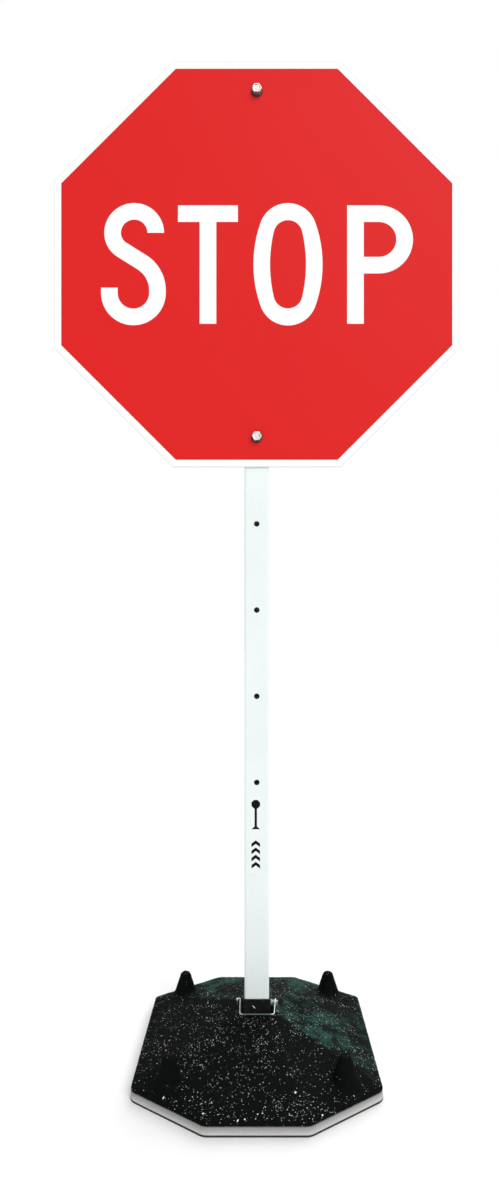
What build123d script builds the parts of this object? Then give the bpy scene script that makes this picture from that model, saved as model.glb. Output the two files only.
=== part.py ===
from build123d import *

import math
import os

# Portable stop sign on a square post in a recycled-rubber base. Lengths are in millimetres, angles in
# degrees. The origin is the centre of the base on the ground, +Z is up and the sign faces -Y.

# Sign: a 24 in octagon, measured across its flats
SIGN_ACROSS_FLATS = 609.6
SIGN_BORDER = 10.8
SIGN_CENTRE_Z = 1192.0
BLANK_THICKNESS = 2.0
SHEETING_THICKNESS = 0.3
FILM_THICKNESS = 0.2

# Legend, measured from the sign's centre
STROKE = 25.2
CAP_TOP = 88.8
CAP_BOTTOM = -89.6
S_TERMINAL_X = -151.9
S_TERMINAL_Z = 47.2
S_UPPER_RADIUS = 32.5
S_NECK_RADIUS = 29.9
S_SHOULDER_RADIUS = 49.6
S_LOWER_RADIUS = 36.2
S_SPINE_TURN = 58.0
S_SPINE_LENGTH = 35.6
S_SIDE_LENGTH = 3.9
S_TAIL_LENGTH = 8.0
T_LEFT = -118.5
T_RIGHT = -28.3
O_CENTRE_X = 47.0
O_OUTER = (52.1, 92.2, 43.6)
O_INNER = (27.0, 66.3, 21.8)
P_LEFT = 135.9
P_RIGHT = 235.1
P_BOWL_BOTTOM = -13.9

# Post: a 37 mm square tube. The row of holes is in its front wall; only the sign's bolts go through both.
POST_SIZE = 37.0
POST_WALL = 2.0
POST_CORNER = 3.0
POST_INNER_CORNER = 1.2
POST_FOOT_Z = 19.0
POST_TOP_Z = 1485.0
ROW_HOLE = 8.5
ROW_PITCH = 130.0
ROW_COUNT = 9
ROW_FIRST_Z = 412.0
BOLT_HOLE_NUMBERS = (4, 8)

# Plastic inserts in the post's ends
INSERT_FLANGE = 3.0
INSERT_FLANGE_CHAMFER = 1.0
INSERT_DEPTH = 14.0
INSERT_CORE = 29.0
INSERT_CORE_CORNER = 1.5
INSERT_WALL = 2.5
INSERT_HOLLOW_CORNER = 0.8
INSERT_FIN = 1.2
INSERT_FIN_CORNER = 1.2
INSERT_FIN_COUNT = 3

# Sticker that marks the post's front
LABEL_WIDTH = 16.6
LABEL_HEIGHT = 122.0
LABEL_THICKNESS = 0.2
LABEL_CORNER = 1.5
LABEL_X = -2.0
LABEL_CENTRE_Z = 334.0

# M8 hardware
M8 = 8.0
HEX_ACROSS_FLATS = 13.0
HEAD_HEIGHT = 5.3
HEAD_CHAMFER = 1.1
WASHER_OUTER = 16.0
WASHER_INNER = 8.4
WASHER_THICKNESS = 1.6
FILM_WASHER_OUTER = 17.6
FILM_WASHER_THICKNESS = 0.8
NUT_HEX_HEIGHT = 6.2
NUT_CHAMFER = 0.9
NUT_HEIGHT = 8.0
NUT_COLLAR = 11.6
NUT_INSERT_OUTER = 10.0
NUT_INSERT_THICKNESS = 1.5
BOLT_LENGTH = 55.0
BOLT_TIP_CHAMFER = 0.8
SCREW_LENGTH = 35.0
SCREW_TIP_CHAMFER = 2.4

# Base: an elongated octagon that rises in eight flat facets to a small plateau
BASE_HALF_WIDTH = 172.5
BASE_HALF_DEPTH = 190.0
FRONT_EDGE_HALF = 68.0
SIDE_EDGE_HALF = 121.0
SHEET_THICKNESS = 1.5
SOLE_TOP_Z = 12.0
SOLE_FLARE = 1.0
SOLE_CORNER = 19.0
SOLE_OPENING = 132.0
RIM_TOP_Z = 18.0
RIM_CORNER = 12.0
PLATEAU_Z = 63.5
PLATEAU_SCALE = 0.1855
CONE_X = 121.0
CONE_Y = 118.0
CONE_FOOT_RADIUS = 29.0
CONE_FOOT_FILLET = 24.0
CONE_WAIST_RADIUS = 18.0
CONE_WAIST_Z = 29.0
CONE_TOP_RADIUS = 7.6
CONE_TOP_Z = 61.0
CONE_TOP_FILLET = 3.6

# Steel socket: a square tube on a plate that is screwed up into the block
SOCKET_SIZE = 42.0
SOCKET_WALL = 2.0
SOCKET_CORNER = 4.0
SOCKET_INNER_CORNER = 2.2
SOCKET_TOP_Z = 86.0
SOCKET_GAP = 0.2
PLATE_SIZE = 120.0
PLATE_THICKNESS = 4.0
PLATE_CORNER = 8.0
SCREW_OFFSET = 44.0
SCREW_HOLE = 9.0

# Lock pin across the socket, and the wire bail that keeps it in
PIN_Z = 71.0
PIN_DIAMETER = 6.35
PIN_HOLE = 7.0
PIN_TIP_X = -28.5
PIN_CHAMFER = 1.0
SHOULDER_X = 21.4
SHOULDER_DIAMETER = 9.5
SHOULDER_THICKNESS = 1.6
TONGUE_THICKNESS = 4.6
TONGUE_WIDTH = 7.6
HINGE_X = 28.5
WIRE_DIAMETER = 2.0
WIRE_RUNNING_GAP = 0.05
BUTTON_DIAMETER = 3.8
BUTTON_THICKNESS = 1.0
BAIL_HINGE_RISE = 4.6
BAIL_REACH = 27.9
BAIL_FRONT_Z = 67.6
BAIL_RIGHT_X = 25.8
BAIL_LEFT_X = -25.3
BAIL_TAIL_Y = -5.0
BAIL_EYE_RADIUS = 2.6
BAIL_EYE_ANGLE = 250.0
BAIL_CORNER = 3.2
BAIL_HINGE_BEND = 2.4
BAIL_TAIL_BEND = 8.0
BAIL_CLEARANCE = 0.3

FRONT_FACE_Y = -POST_SIZE / 2
FILM_FRONT_Y = FRONT_FACE_Y - BLANK_THICKNESS - SHEETING_THICKNESS - FILM_THICKNESS
BOLT_HEIGHTS = [ROW_FIRST_Z + ROW_PITCH * number for number in BOLT_HOLE_NUMBERS]
PLATE_TOP_Z = SOLE_TOP_Z + PLATE_THICKNESS
SCREW_SPOTS = [(x, y) for x in (-SCREW_OFFSET, SCREW_OFFSET) for y in (-SCREW_OFFSET, SCREW_OFFSET)]


def facing_front(y, z):
    """A plane at the given depth and height, with X to the right, its Y up and its normal to the front."""
    return Plane(origin=(0, y, z), x_dir=(1, 0, 0), z_dir=(0, -1, 0))


def facing_back(y, z):
    """The same plane turned to face the back."""
    return Plane(origin=(0, y, z), x_dir=(-1, 0, 0), z_dir=(0, 1, 0))


def bar_along_y(diameter, start, end, z):
    """A round bar at the given height between two depths, for cutting holes."""
    return Pos(0, (start + end) / 2, z) * Rot(90, 0, 0) * Cylinder(diameter / 2, end - start)


def bar_along_x(diameter, length, x, z):
    """A round bar across the object from side to side, for cutting holes."""
    return Pos(x, 0, z) * Rot(0, 90, 0) * Cylinder(diameter / 2, length)


def square_tube(size, wall, corner, inner_corner, low, high):
    """A square tube with rounded corners, standing between two heights."""
    outer = RectangleRounded(size, size, corner)
    inner = RectangleRounded(size - 2 * wall, size - 2 * wall, inner_corner)
    return Pos(0, 0, low) * extrude(outer - inner, high - low)


def ring(outer, inner, thickness):
    """A flat washer lying on the XY plane."""
    return extrude(Circle(outer / 2) - Circle(inner / 2), thickness)


def hexagon(across_flats, height, chamfer_size):
    """A hexagonal prism on the XY plane, its upper corners turned to a chamfer."""
    prism = extrude(RegularPolygon(across_flats / 2, 6, major_radius=False, rotation=30), height)
    corner_radius = across_flats / 2 / math.cos(math.radians(30))
    turned = Cylinder(corner_radius, height, align=(Align.CENTER, Align.CENTER, Align.MIN))
    turned = chamfer(turned.edges().group_by(Axis.Z)[-1], chamfer_size, chamfer_size * 1.6)
    return prism & turned


def hex_bolt(shank_length, tip_chamfer):
    """A hex bolt or screw: its head rises from the XY plane and its shank hangs below."""
    shank = Cylinder(M8 / 2, shank_length, align=(Align.CENTER, Align.CENTER, Align.MAX))
    shank = chamfer(shank.edges().group_by(Axis.Z)[0], tip_chamfer)
    return hexagon(HEX_ACROSS_FLATS, HEAD_HEIGHT, HEAD_CHAMFER) + shank


# ---- Sign ----


def octagon(across_flats):
    """A regular octagon with level top and bottom sides."""
    return RegularPolygon(across_flats / 2, 8, major_radius=False, rotation=22.5)


def between(left, right, bottom, top):
    """A rectangle from its four limits."""
    return Pos((left + right) / 2, (bottom + top) / 2) * Rectangle(right - left, top - bottom)


def stroke_edge(start, moves, side):
    """One long edge of a pen stroke, at a signed distance to the left of the pen's own path.

    Each move is a straight ("line", length) or a tangent ("arc", radius, angle), where a positive angle
    turns left. The stroke starts upwards.
    """
    heading = 90.0
    point = Vector(*start)
    edges = []
    for kind, *size in moves:
        ahead = Vector(1, 0).rotate(Axis.Z, heading)
        left = Vector(0, 1).rotate(Axis.Z, heading)
        begin = point + left * side
        if kind == "line":
            edges.append(Line(begin, begin + ahead * size[0]))
            point = point + ahead * size[0]
            continue
        radius, angle = size
        turn = math.copysign(1, angle)
        edges.append(JernArc(begin, ahead, radius - turn * side, angle))
        centre = point + left * radius * turn
        point = centre + (point - centre).rotate(Axis.Z, angle)
        heading += angle
    return edges


def letter_s():
    """The S, drawn as one pen stroke of constant width through two arches and a straight spine."""
    moves = [
        ("arc", S_UPPER_RADIUS, 180.0),
        ("arc", S_NECK_RADIUS, S_SPINE_TURN),
        ("line", S_SPINE_LENGTH),
        ("arc", S_SHOULDER_RADIUS, -S_SPINE_TURN),
        ("line", S_SIDE_LENGTH),
        ("arc", S_LOWER_RADIUS, -180.0),
        ("line", S_TAIL_LENGTH),
    ]
    start = (S_TERMINAL_X, S_TERMINAL_Z)
    left = stroke_edge(start, moves, STROKE / 2)
    right = stroke_edge(start, moves, -STROKE / 2)
    caps = [Line(left[0] @ 0, right[0] @ 0), Line(left[-1] @ 1, right[-1] @ 1)]
    return make_face(Curve() + left + right + caps)


def letter_t():
    """The T: a bar and a stem."""
    middle = (T_LEFT + T_RIGHT) / 2
    bar = between(T_LEFT, T_RIGHT, CAP_TOP - STROKE, CAP_TOP)
    return bar + between(middle - STROKE / 2, middle + STROKE / 2, CAP_BOTTOM, CAP_TOP - STROKE / 2)


def oval(half_width, half_height, end_radius):
    """An upright oval of four arcs: small ones at its ends, and large ones at its sides."""
    rise = half_height - end_radius
    side_radius = (half_width**2 + rise**2 - end_radius**2) / (2 * (half_width - end_radius))
    reach = side_radius - end_radius
    x = end_radius * (side_radius - half_width) / reach
    z = rise + end_radius * rise / reach
    sides = [
        ThreePointArc((x, -z), (half_width, 0), (x, z)),
        ThreePointArc((x, z), (0, half_height), (-x, z)),
        ThreePointArc((-x, z), (-half_width, 0), (-x, -z)),
        ThreePointArc((-x, -z), (0, -half_height), (x, -z)),
    ]
    return make_face(Curve() + sides)


def letter_o():
    """The O: a ring between two ovals."""
    return Pos(O_CENTRE_X, 0) * (oval(*O_OUTER) - oval(*O_INNER))


def bowl(left, middle_x, middle_z, radius):
    """A bar that starts at the left and ends on the right in a half circle."""
    end = Circle(radius) & between(0, radius, -radius, radius)
    return Pos(middle_x, middle_z) * end + between(left, middle_x, middle_z - radius, middle_z + radius)


def letter_p():
    """The P: a stem with a bowl that ends in a half circle."""
    radius = (CAP_TOP - P_BOWL_BOTTOM) / 2
    middle = (P_RIGHT - radius, CAP_TOP - radius)
    ring_shape = bowl(P_LEFT, *middle, radius) - bowl(P_LEFT + STROKE, *middle, radius - STROKE)
    return ring_shape + between(P_LEFT, P_LEFT + STROKE, CAP_BOTTOM, CAP_TOP)


def sign_layer(outline, back_y, thickness):
    """One layer of the sign, drilled for its two bolts."""
    face = outline
    for height in BOLT_HEIGHTS:
        face -= Pos(0, height - SIGN_CENTRE_Z) * Circle(ROW_HOLE / 2)
    return extrude(facing_front(back_y, SIGN_CENTRE_Z) * face, thickness)


def sign_blank():
    """The aluminium plate."""
    return sign_layer(octagon(SIGN_ACROSS_FLATS), FRONT_FACE_Y, BLANK_THICKNESS)


def white_sheeting():
    """The white reflective sheeting, which shows as the border and the legend."""
    return sign_layer(octagon(SIGN_ACROSS_FLATS), FRONT_FACE_Y - BLANK_THICKNESS, SHEETING_THICKNESS)


def red_film():
    """The red overlay film with the legend cut out, and the loose counters of the O and the P."""
    legend = letter_s() + letter_t() + letter_o() + letter_p()
    outline = octagon(SIGN_ACROSS_FLATS - 2 * SIGN_BORDER) - legend
    return sign_layer(outline, FILM_FRONT_Y + FILM_THICKNESS, FILM_THICKNESS)


# ---- Sign hardware ----


def on_front(item, y):
    """Two copies of a piece, one at each sign bolt, facing the front."""
    return [facing_front(y, height) * item for height in BOLT_HEIGHTS]


def on_back(item, y):
    """Two copies of a piece, one at each sign bolt, facing the back."""
    return [facing_back(y, height) * item for height in BOLT_HEIGHTS]


def film_washers():
    """Thin black plastic washers, which keep the bolts from twisting the film."""
    return on_front(ring(FILM_WASHER_OUTER, WASHER_INNER, FILM_WASHER_THICKNESS), FILM_FRONT_Y)


def face_washers():
    """Steel washers under the bolt heads."""
    washer = ring(WASHER_OUTER, WASHER_INNER, WASHER_THICKNESS)
    return on_front(washer, FILM_FRONT_Y - FILM_WASHER_THICKNESS)


def sign_bolts():
    """M8 hex bolts through the sign and both walls of the post."""
    head_y = FILM_FRONT_Y - FILM_WASHER_THICKNESS - WASHER_THICKNESS
    return on_front(hex_bolt(BOLT_LENGTH, BOLT_TIP_CHAMFER), head_y)


def back_washers():
    """Steel washers against the post's back wall."""
    return on_back(ring(WASHER_OUTER, WASHER_INNER, WASHER_THICKNESS), POST_SIZE / 2)


def lock_nuts():
    """Nuts with a round collar, which is open at the top for the nylon ring."""
    body = hexagon(HEX_ACROSS_FLATS, NUT_HEX_HEIGHT, NUT_CHAMFER) + extrude(Circle(NUT_COLLAR / 2), NUT_HEIGHT)
    pocket = Pos(0, 0, NUT_HEIGHT - NUT_INSERT_THICKNESS) * extrude(Circle(NUT_INSERT_OUTER / 2), NUT_HEIGHT)
    nut = body - pocket - Cylinder(M8 / 2, 4 * NUT_HEIGHT)
    return on_back(nut, POST_SIZE / 2 + WASHER_THICKNESS)


def nut_inserts():
    """The nylon rings that grip the bolts."""
    insert_y = POST_SIZE / 2 + WASHER_THICKNESS + NUT_HEIGHT - NUT_INSERT_THICKNESS
    return on_back(ring(NUT_INSERT_OUTER, M8, NUT_INSERT_THICKNESS), insert_y)


# ---- Post ----


def post_tube():
    """The square post, with its row of holes and the cross hole for the lock pin."""
    tube = square_tube(POST_SIZE, POST_WALL, POST_CORNER, POST_INNER_CORNER, POST_FOOT_Z, POST_TOP_Z)
    for number in range(ROW_COUNT):
        end = POST_SIZE if number in BOLT_HOLE_NUMBERS else 0
        tube -= bar_along_y(ROW_HOLE, -POST_SIZE, end, ROW_FIRST_Z + ROW_PITCH * number)
    return tube - bar_along_x(PIN_HOLE, 2 * POST_SIZE, 0, PIN_Z)


def post_insert():
    """A finned plastic insert that points down from the XY plane, with its flange on top."""
    inside = POST_SIZE - 2 * POST_WALL
    flange = extrude(RectangleRounded(POST_SIZE, POST_SIZE, POST_CORNER), INSERT_FLANGE)
    flange = chamfer(flange.edges().group_by(Axis.Z)[-1], INSERT_FLANGE_CHAMFER)
    core = RectangleRounded(INSERT_CORE, INSERT_CORE, INSERT_CORE_CORNER)
    opening = INSERT_CORE - 2 * INSERT_WALL
    hollow = RectangleRounded(opening, opening, INSERT_HOLLOW_CORNER)
    fin = extrude(RectangleRounded(inside, inside, INSERT_FIN_CORNER) - hollow, INSERT_FIN)
    insert = flange + extrude(core - hollow, -INSERT_DEPTH)
    for number in range(INSERT_FIN_COUNT):
        insert += Pos(0, 0, -INSERT_DEPTH * (number + 1) / (INSERT_FIN_COUNT + 0.5)) * fin
    return insert


def post_cap():
    """The cap in the post's top."""
    return Pos(0, 0, POST_TOP_Z) * post_insert()


def foot_plug():
    """The plug in the post's foot, which stands on the anchor plate."""
    return Pos(0, 0, POST_FOOT_Z) * Rot(180, 0, 0) * post_insert()


def orientation_label():
    """The sticker on the side of the post that the sign faces."""
    outline = Pos(LABEL_X, 0) * RectangleRounded(LABEL_WIDTH, LABEL_HEIGHT, LABEL_CORNER)
    return extrude(facing_front(FRONT_FACE_Y, LABEL_CENTRE_Z) * outline, LABEL_THICKNESS)


# ---- Base ----


def base_outline(corner, grow=0.0, scale=1.0):
    """The base's octagon, moved outwards by grow, with its corners rounded."""
    half = [
        (BASE_HALF_WIDTH, -SIDE_EDGE_HALF),
        (BASE_HALF_WIDTH, SIDE_EDGE_HALF),
        (FRONT_EDGE_HALF, BASE_HALF_DEPTH),
        (-FRONT_EDGE_HALF, BASE_HALF_DEPTH),
    ]
    corners = half + [(-x, -y) for x, y in half]
    outline = Polygon(*[(x * scale, y * scale) for x, y in corners], align=None)
    if grow:
        outline = offset(outline, grow, kind=Kind.INTERSECTION)
    if corner:
        outline = fillet(outline.vertices(), corner)
    return outline


def stacking_cone():
    """A blunt cone with a spreading foot. Its foot is below the block's surface."""
    profile = Polygon(
        (0, SOLE_TOP_Z + 1),
        (CONE_FOOT_RADIUS, SOLE_TOP_Z + 1),
        (CONE_WAIST_RADIUS, CONE_WAIST_Z),
        (CONE_TOP_RADIUS, CONE_TOP_Z),
        (0, CONE_TOP_Z),
        align=None,
    )
    corners = profile.vertices()
    profile = fillet(corners.sort_by(Axis.Y)[2:3], CONE_FOOT_FILLET)
    profile = fillet(profile.vertices().group_by(Axis.Y)[-1].sort_by(Axis.X)[-1:], CONE_TOP_FILLET)
    return revolve(Plane.XZ * profile, Axis.Z)


def rubber_base():
    """The moulded block: a faceted pyramid with four cones, pierced by the socket."""
    rim = base_outline(0)
    plateau = Pos(0, 0, PLATEAU_Z) * base_outline(0, scale=PLATEAU_SCALE)
    block = loft([Pos(0, 0, RIM_TOP_Z) * rim, plateau], ruled=True)
    block += Pos(0, 0, SOLE_TOP_Z) * extrude(rim, RIM_TOP_Z - SOLE_TOP_Z)
    block &= extrude(base_outline(RIM_CORNER), 2 * PLATEAU_Z)
    cone = stacking_cone()
    for x in (-CONE_X, CONE_X):
        for y in (-CONE_Y, CONE_Y):
            block += Pos(x, y, 0) * cone
    hole = SOCKET_SIZE + 2 * SOCKET_GAP
    block -= extrude(RectangleRounded(hole, hole, SOCKET_CORNER), 2 * PLATEAU_Z)
    recess = RectangleRounded(PLATE_SIZE + 1, PLATE_SIZE + 1, PLATE_CORNER)
    block -= Pos(0, 0, SOLE_TOP_Z) * extrude(recess, PLATE_THICKNESS)
    shank_end = SOLE_TOP_Z - WASHER_THICKNESS + SCREW_LENGTH
    for x, y in SCREW_SPOTS:
        block -= Pos(x, y, 0) * extrude(Circle(M8 / 2), shank_end + 1)
    return block


def edge_sole():
    """The pale sole under the block. Its sides flare out to the ground, and its middle is open."""
    upper = Pos(0, 0, SOLE_TOP_Z) * base_outline(SOLE_CORNER)
    lower = Pos(0, 0, SHEET_THICKNESS) * base_outline(SOLE_CORNER, grow=SOLE_FLARE)
    sole = loft([lower, upper], ruled=True)
    return sole - extrude(RectangleRounded(SOLE_OPENING, SOLE_OPENING, PLATE_CORNER), 2 * SOLE_TOP_Z)


def non_slip_sheet():
    """The thin black sheet that grips the ground and closes the sole's opening."""
    return extrude(base_outline(SOLE_CORNER, grow=SOLE_FLARE), SHEET_THICKNESS)


# ---- Socket ----


def socket_tube():
    """The steel tube that the post stands in, with the cross hole for the lock pin."""
    tube = square_tube(SOCKET_SIZE, SOCKET_WALL, SOCKET_CORNER, SOCKET_INNER_CORNER, PLATE_TOP_Z, SOCKET_TOP_Z)
    return tube - bar_along_x(PIN_HOLE, 2 * SOCKET_SIZE, 0, PIN_Z)


def anchor_plate():
    """The plate at the socket's foot, in the underside of the block."""
    outline = RectangleRounded(PLATE_SIZE, PLATE_SIZE, PLATE_CORNER)
    for x, y in SCREW_SPOTS:
        outline -= Pos(x, y) * Circle(SCREW_HOLE / 2)
    return Pos(0, 0, SOLE_TOP_Z) * extrude(outline, PLATE_THICKNESS)


def anchor_washers():
    """Washers between the plate and the screw heads."""
    washer = ring(WASHER_OUTER, WASHER_INNER, -WASHER_THICKNESS)
    return [Pos(x, y, SOLE_TOP_Z) * washer for x, y in SCREW_SPOTS]


def anchor_screws():
    """Hex screws that run up from the underside into the rubber."""
    screw = Rot(180, 0, 0) * hex_bolt(SCREW_LENGTH, SCREW_TIP_CHAMFER)
    return [Pos(x, y, SOLE_TOP_Z - WASHER_THICKNESS) * screw for x, y in SCREW_SPOTS]


# ---- Lock pin ----


def lock_pin():
    """The cross pin: a round shank, a shoulder, and a flat tongue with an upright hole for the bail."""
    neck_end = HINGE_X - TONGUE_WIDTH / 2 + 1.5
    shank = bar_along_x(PIN_DIAMETER, neck_end - PIN_TIP_X, (neck_end + PIN_TIP_X) / 2, PIN_Z)
    shank = chamfer(shank.edges().group_by(Axis.X)[0], PIN_CHAMFER)
    shoulder_x = SHOULDER_X + SHOULDER_THICKNESS / 2
    shoulder = bar_along_x(SHOULDER_DIAMETER, SHOULDER_THICKNESS, shoulder_x, PIN_Z)
    eye = Pos(HINGE_X, 0) * Circle(TONGUE_WIDTH / 2)
    eye += between(SHOULDER_X + SHOULDER_THICKNESS + 1, HINGE_X, -TONGUE_WIDTH / 2, TONGUE_WIDTH / 2)
    eye -= Pos(HINGE_X, 0) * Circle(WIRE_DIAMETER / 2 + WIRE_RUNNING_GAP)
    tongue = Pos(0, 0, PIN_Z - TONGUE_THICKNESS / 2) * extrude(eye, TONGUE_THICKNESS)
    hole = Pos(HINGE_X, 0, PIN_Z) * Cylinder(WIRE_DIAMETER / 2 + WIRE_RUNNING_GAP, 2 * PIN_DIAMETER)
    return shank + shoulder + tongue - hole


def wire_bail():
    """The spring wire: up through the tongue, round the socket's front, and back over the pin's tip.

    It ends in a small flat eye, which is pushed to unhook it.
    """
    tongue_top = PIN_Z + TONGUE_THICKNESS / 2
    tongue_bottom = PIN_Z - TONGUE_THICKNESS / 2
    tail_z = PIN_Z + PIN_DIAMETER / 2 + WIRE_DIAMETER / 2 + BAIL_CLEARANCE
    route = [
        (HINGE_X, 0, tongue_bottom - BAIL_CLEARANCE),
        (HINGE_X, 0, tongue_top + BAIL_HINGE_RISE),
        (BAIL_RIGHT_X, -BAIL_REACH, BAIL_FRONT_Z),
        (BAIL_LEFT_X, -BAIL_REACH, BAIL_FRONT_Z),
        (BAIL_LEFT_X, BAIL_TAIL_Y, tail_z),
        (BAIL_LEFT_X, 0, tail_z),
    ]
    strap = FilletPolyline(*route, radius=[BAIL_HINGE_BEND, BAIL_CORNER, BAIL_CORNER, BAIL_TAIL_BEND])
    eye = CenterArc((BAIL_LEFT_X - BAIL_EYE_RADIUS, 0, tail_z), BAIL_EYE_RADIUS, 0, BAIL_EYE_ANGLE)
    path = Wire(strap.edges() + eye.edges())
    section = Plane(origin=path @ 0, z_dir=path % 0) * Circle(WIRE_DIAMETER / 2)
    wire = sweep(section, path=path, transition=Transition.RIGHT)
    button = extrude(Circle(BUTTON_DIAMETER / 2), -BUTTON_THICKNESS)
    return wire + Pos(HINGE_X, 0, tongue_bottom - BAIL_CLEARANCE) * button


PIECES = {
    "rubber_base": rubber_base,
    "edge_sole": edge_sole,
    "non_slip_sheet": non_slip_sheet,
    "anchor_plate": anchor_plate,
    "anchor_screws": anchor_screws,
    "anchor_washers": anchor_washers,
    "socket_tube": socket_tube,
    "post_tube": post_tube,
    "post_cap": post_cap,
    "foot_plug": foot_plug,
    "orientation_label": orientation_label,
    "sign_blank": sign_blank,
    "white_sheeting": white_sheeting,
    "red_film": red_film,
    "film_washers": film_washers,
    "face_washers": face_washers,
    "sign_bolts": sign_bolts,
    "back_washers": back_washers,
    "lock_nuts": lock_nuts,
    "nut_inserts": nut_inserts,
    "lock_pin": lock_pin,
    "wire_bail": wire_bail,
}

os.makedirs("parts", exist_ok=True)
for name, make in PIECES.items():
    made = make()
    solids = [solid for item in (made if isinstance(made, list) else [made]) for solid in item.solids()]
    export_step(Compound(label=name, children=solids), f"parts/{name}.step")
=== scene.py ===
"""Looks of a portable stop sign: sheeted plate, white post, crumb-rubber base and lock pin."""

import logging
import math
from collections.abc import Callable, Sequence
from dataclasses import dataclass, replace
from enum import Enum
from functools import cache
from typing import Any

import bmesh
import bpy
from mathutils import Matrix, Vector


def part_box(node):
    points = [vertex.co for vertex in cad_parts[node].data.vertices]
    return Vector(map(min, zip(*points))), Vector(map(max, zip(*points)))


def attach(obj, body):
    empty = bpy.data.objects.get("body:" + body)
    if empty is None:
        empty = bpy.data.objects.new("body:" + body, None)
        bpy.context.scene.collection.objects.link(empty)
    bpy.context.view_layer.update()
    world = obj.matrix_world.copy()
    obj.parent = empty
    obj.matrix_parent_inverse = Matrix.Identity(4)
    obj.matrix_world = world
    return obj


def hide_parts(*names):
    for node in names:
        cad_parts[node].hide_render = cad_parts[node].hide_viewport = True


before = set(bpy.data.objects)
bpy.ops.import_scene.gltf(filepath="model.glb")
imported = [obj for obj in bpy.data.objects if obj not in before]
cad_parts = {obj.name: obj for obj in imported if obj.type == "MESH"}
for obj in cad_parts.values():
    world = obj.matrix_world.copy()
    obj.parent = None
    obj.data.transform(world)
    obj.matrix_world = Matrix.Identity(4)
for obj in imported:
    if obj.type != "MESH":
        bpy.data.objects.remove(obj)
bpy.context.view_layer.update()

LOG = logging.getLogger("stop_sign")
MM = 0.001
Colour = tuple[float, float, float]
Point = tuple[float, float, float]
Ring = Callable[[float], tuple[float, float]]
Socket = bpy.types.NodeSocket

MIX_FACTOR, MIX_A, MIX_B, MIX_RESULT = 0, 6, 7, 2
RANDOM_LOW, RANDOM_HIGH, RANDOM_SEED, RANDOM_VALUE = 2, 3, 8, 1


# ---- Node trees ----


class Pattern(Enum):
    """The kinds of socket that a node group takes and gives."""

    VALUE = "NodeSocketFloat"
    VECTOR = "NodeSocketVector"
    GEOMETRY = "NodeSocketGeometry"
    MATERIAL = "NodeSocketMaterial"
    WHOLE = "NodeSocketInt"


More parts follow.
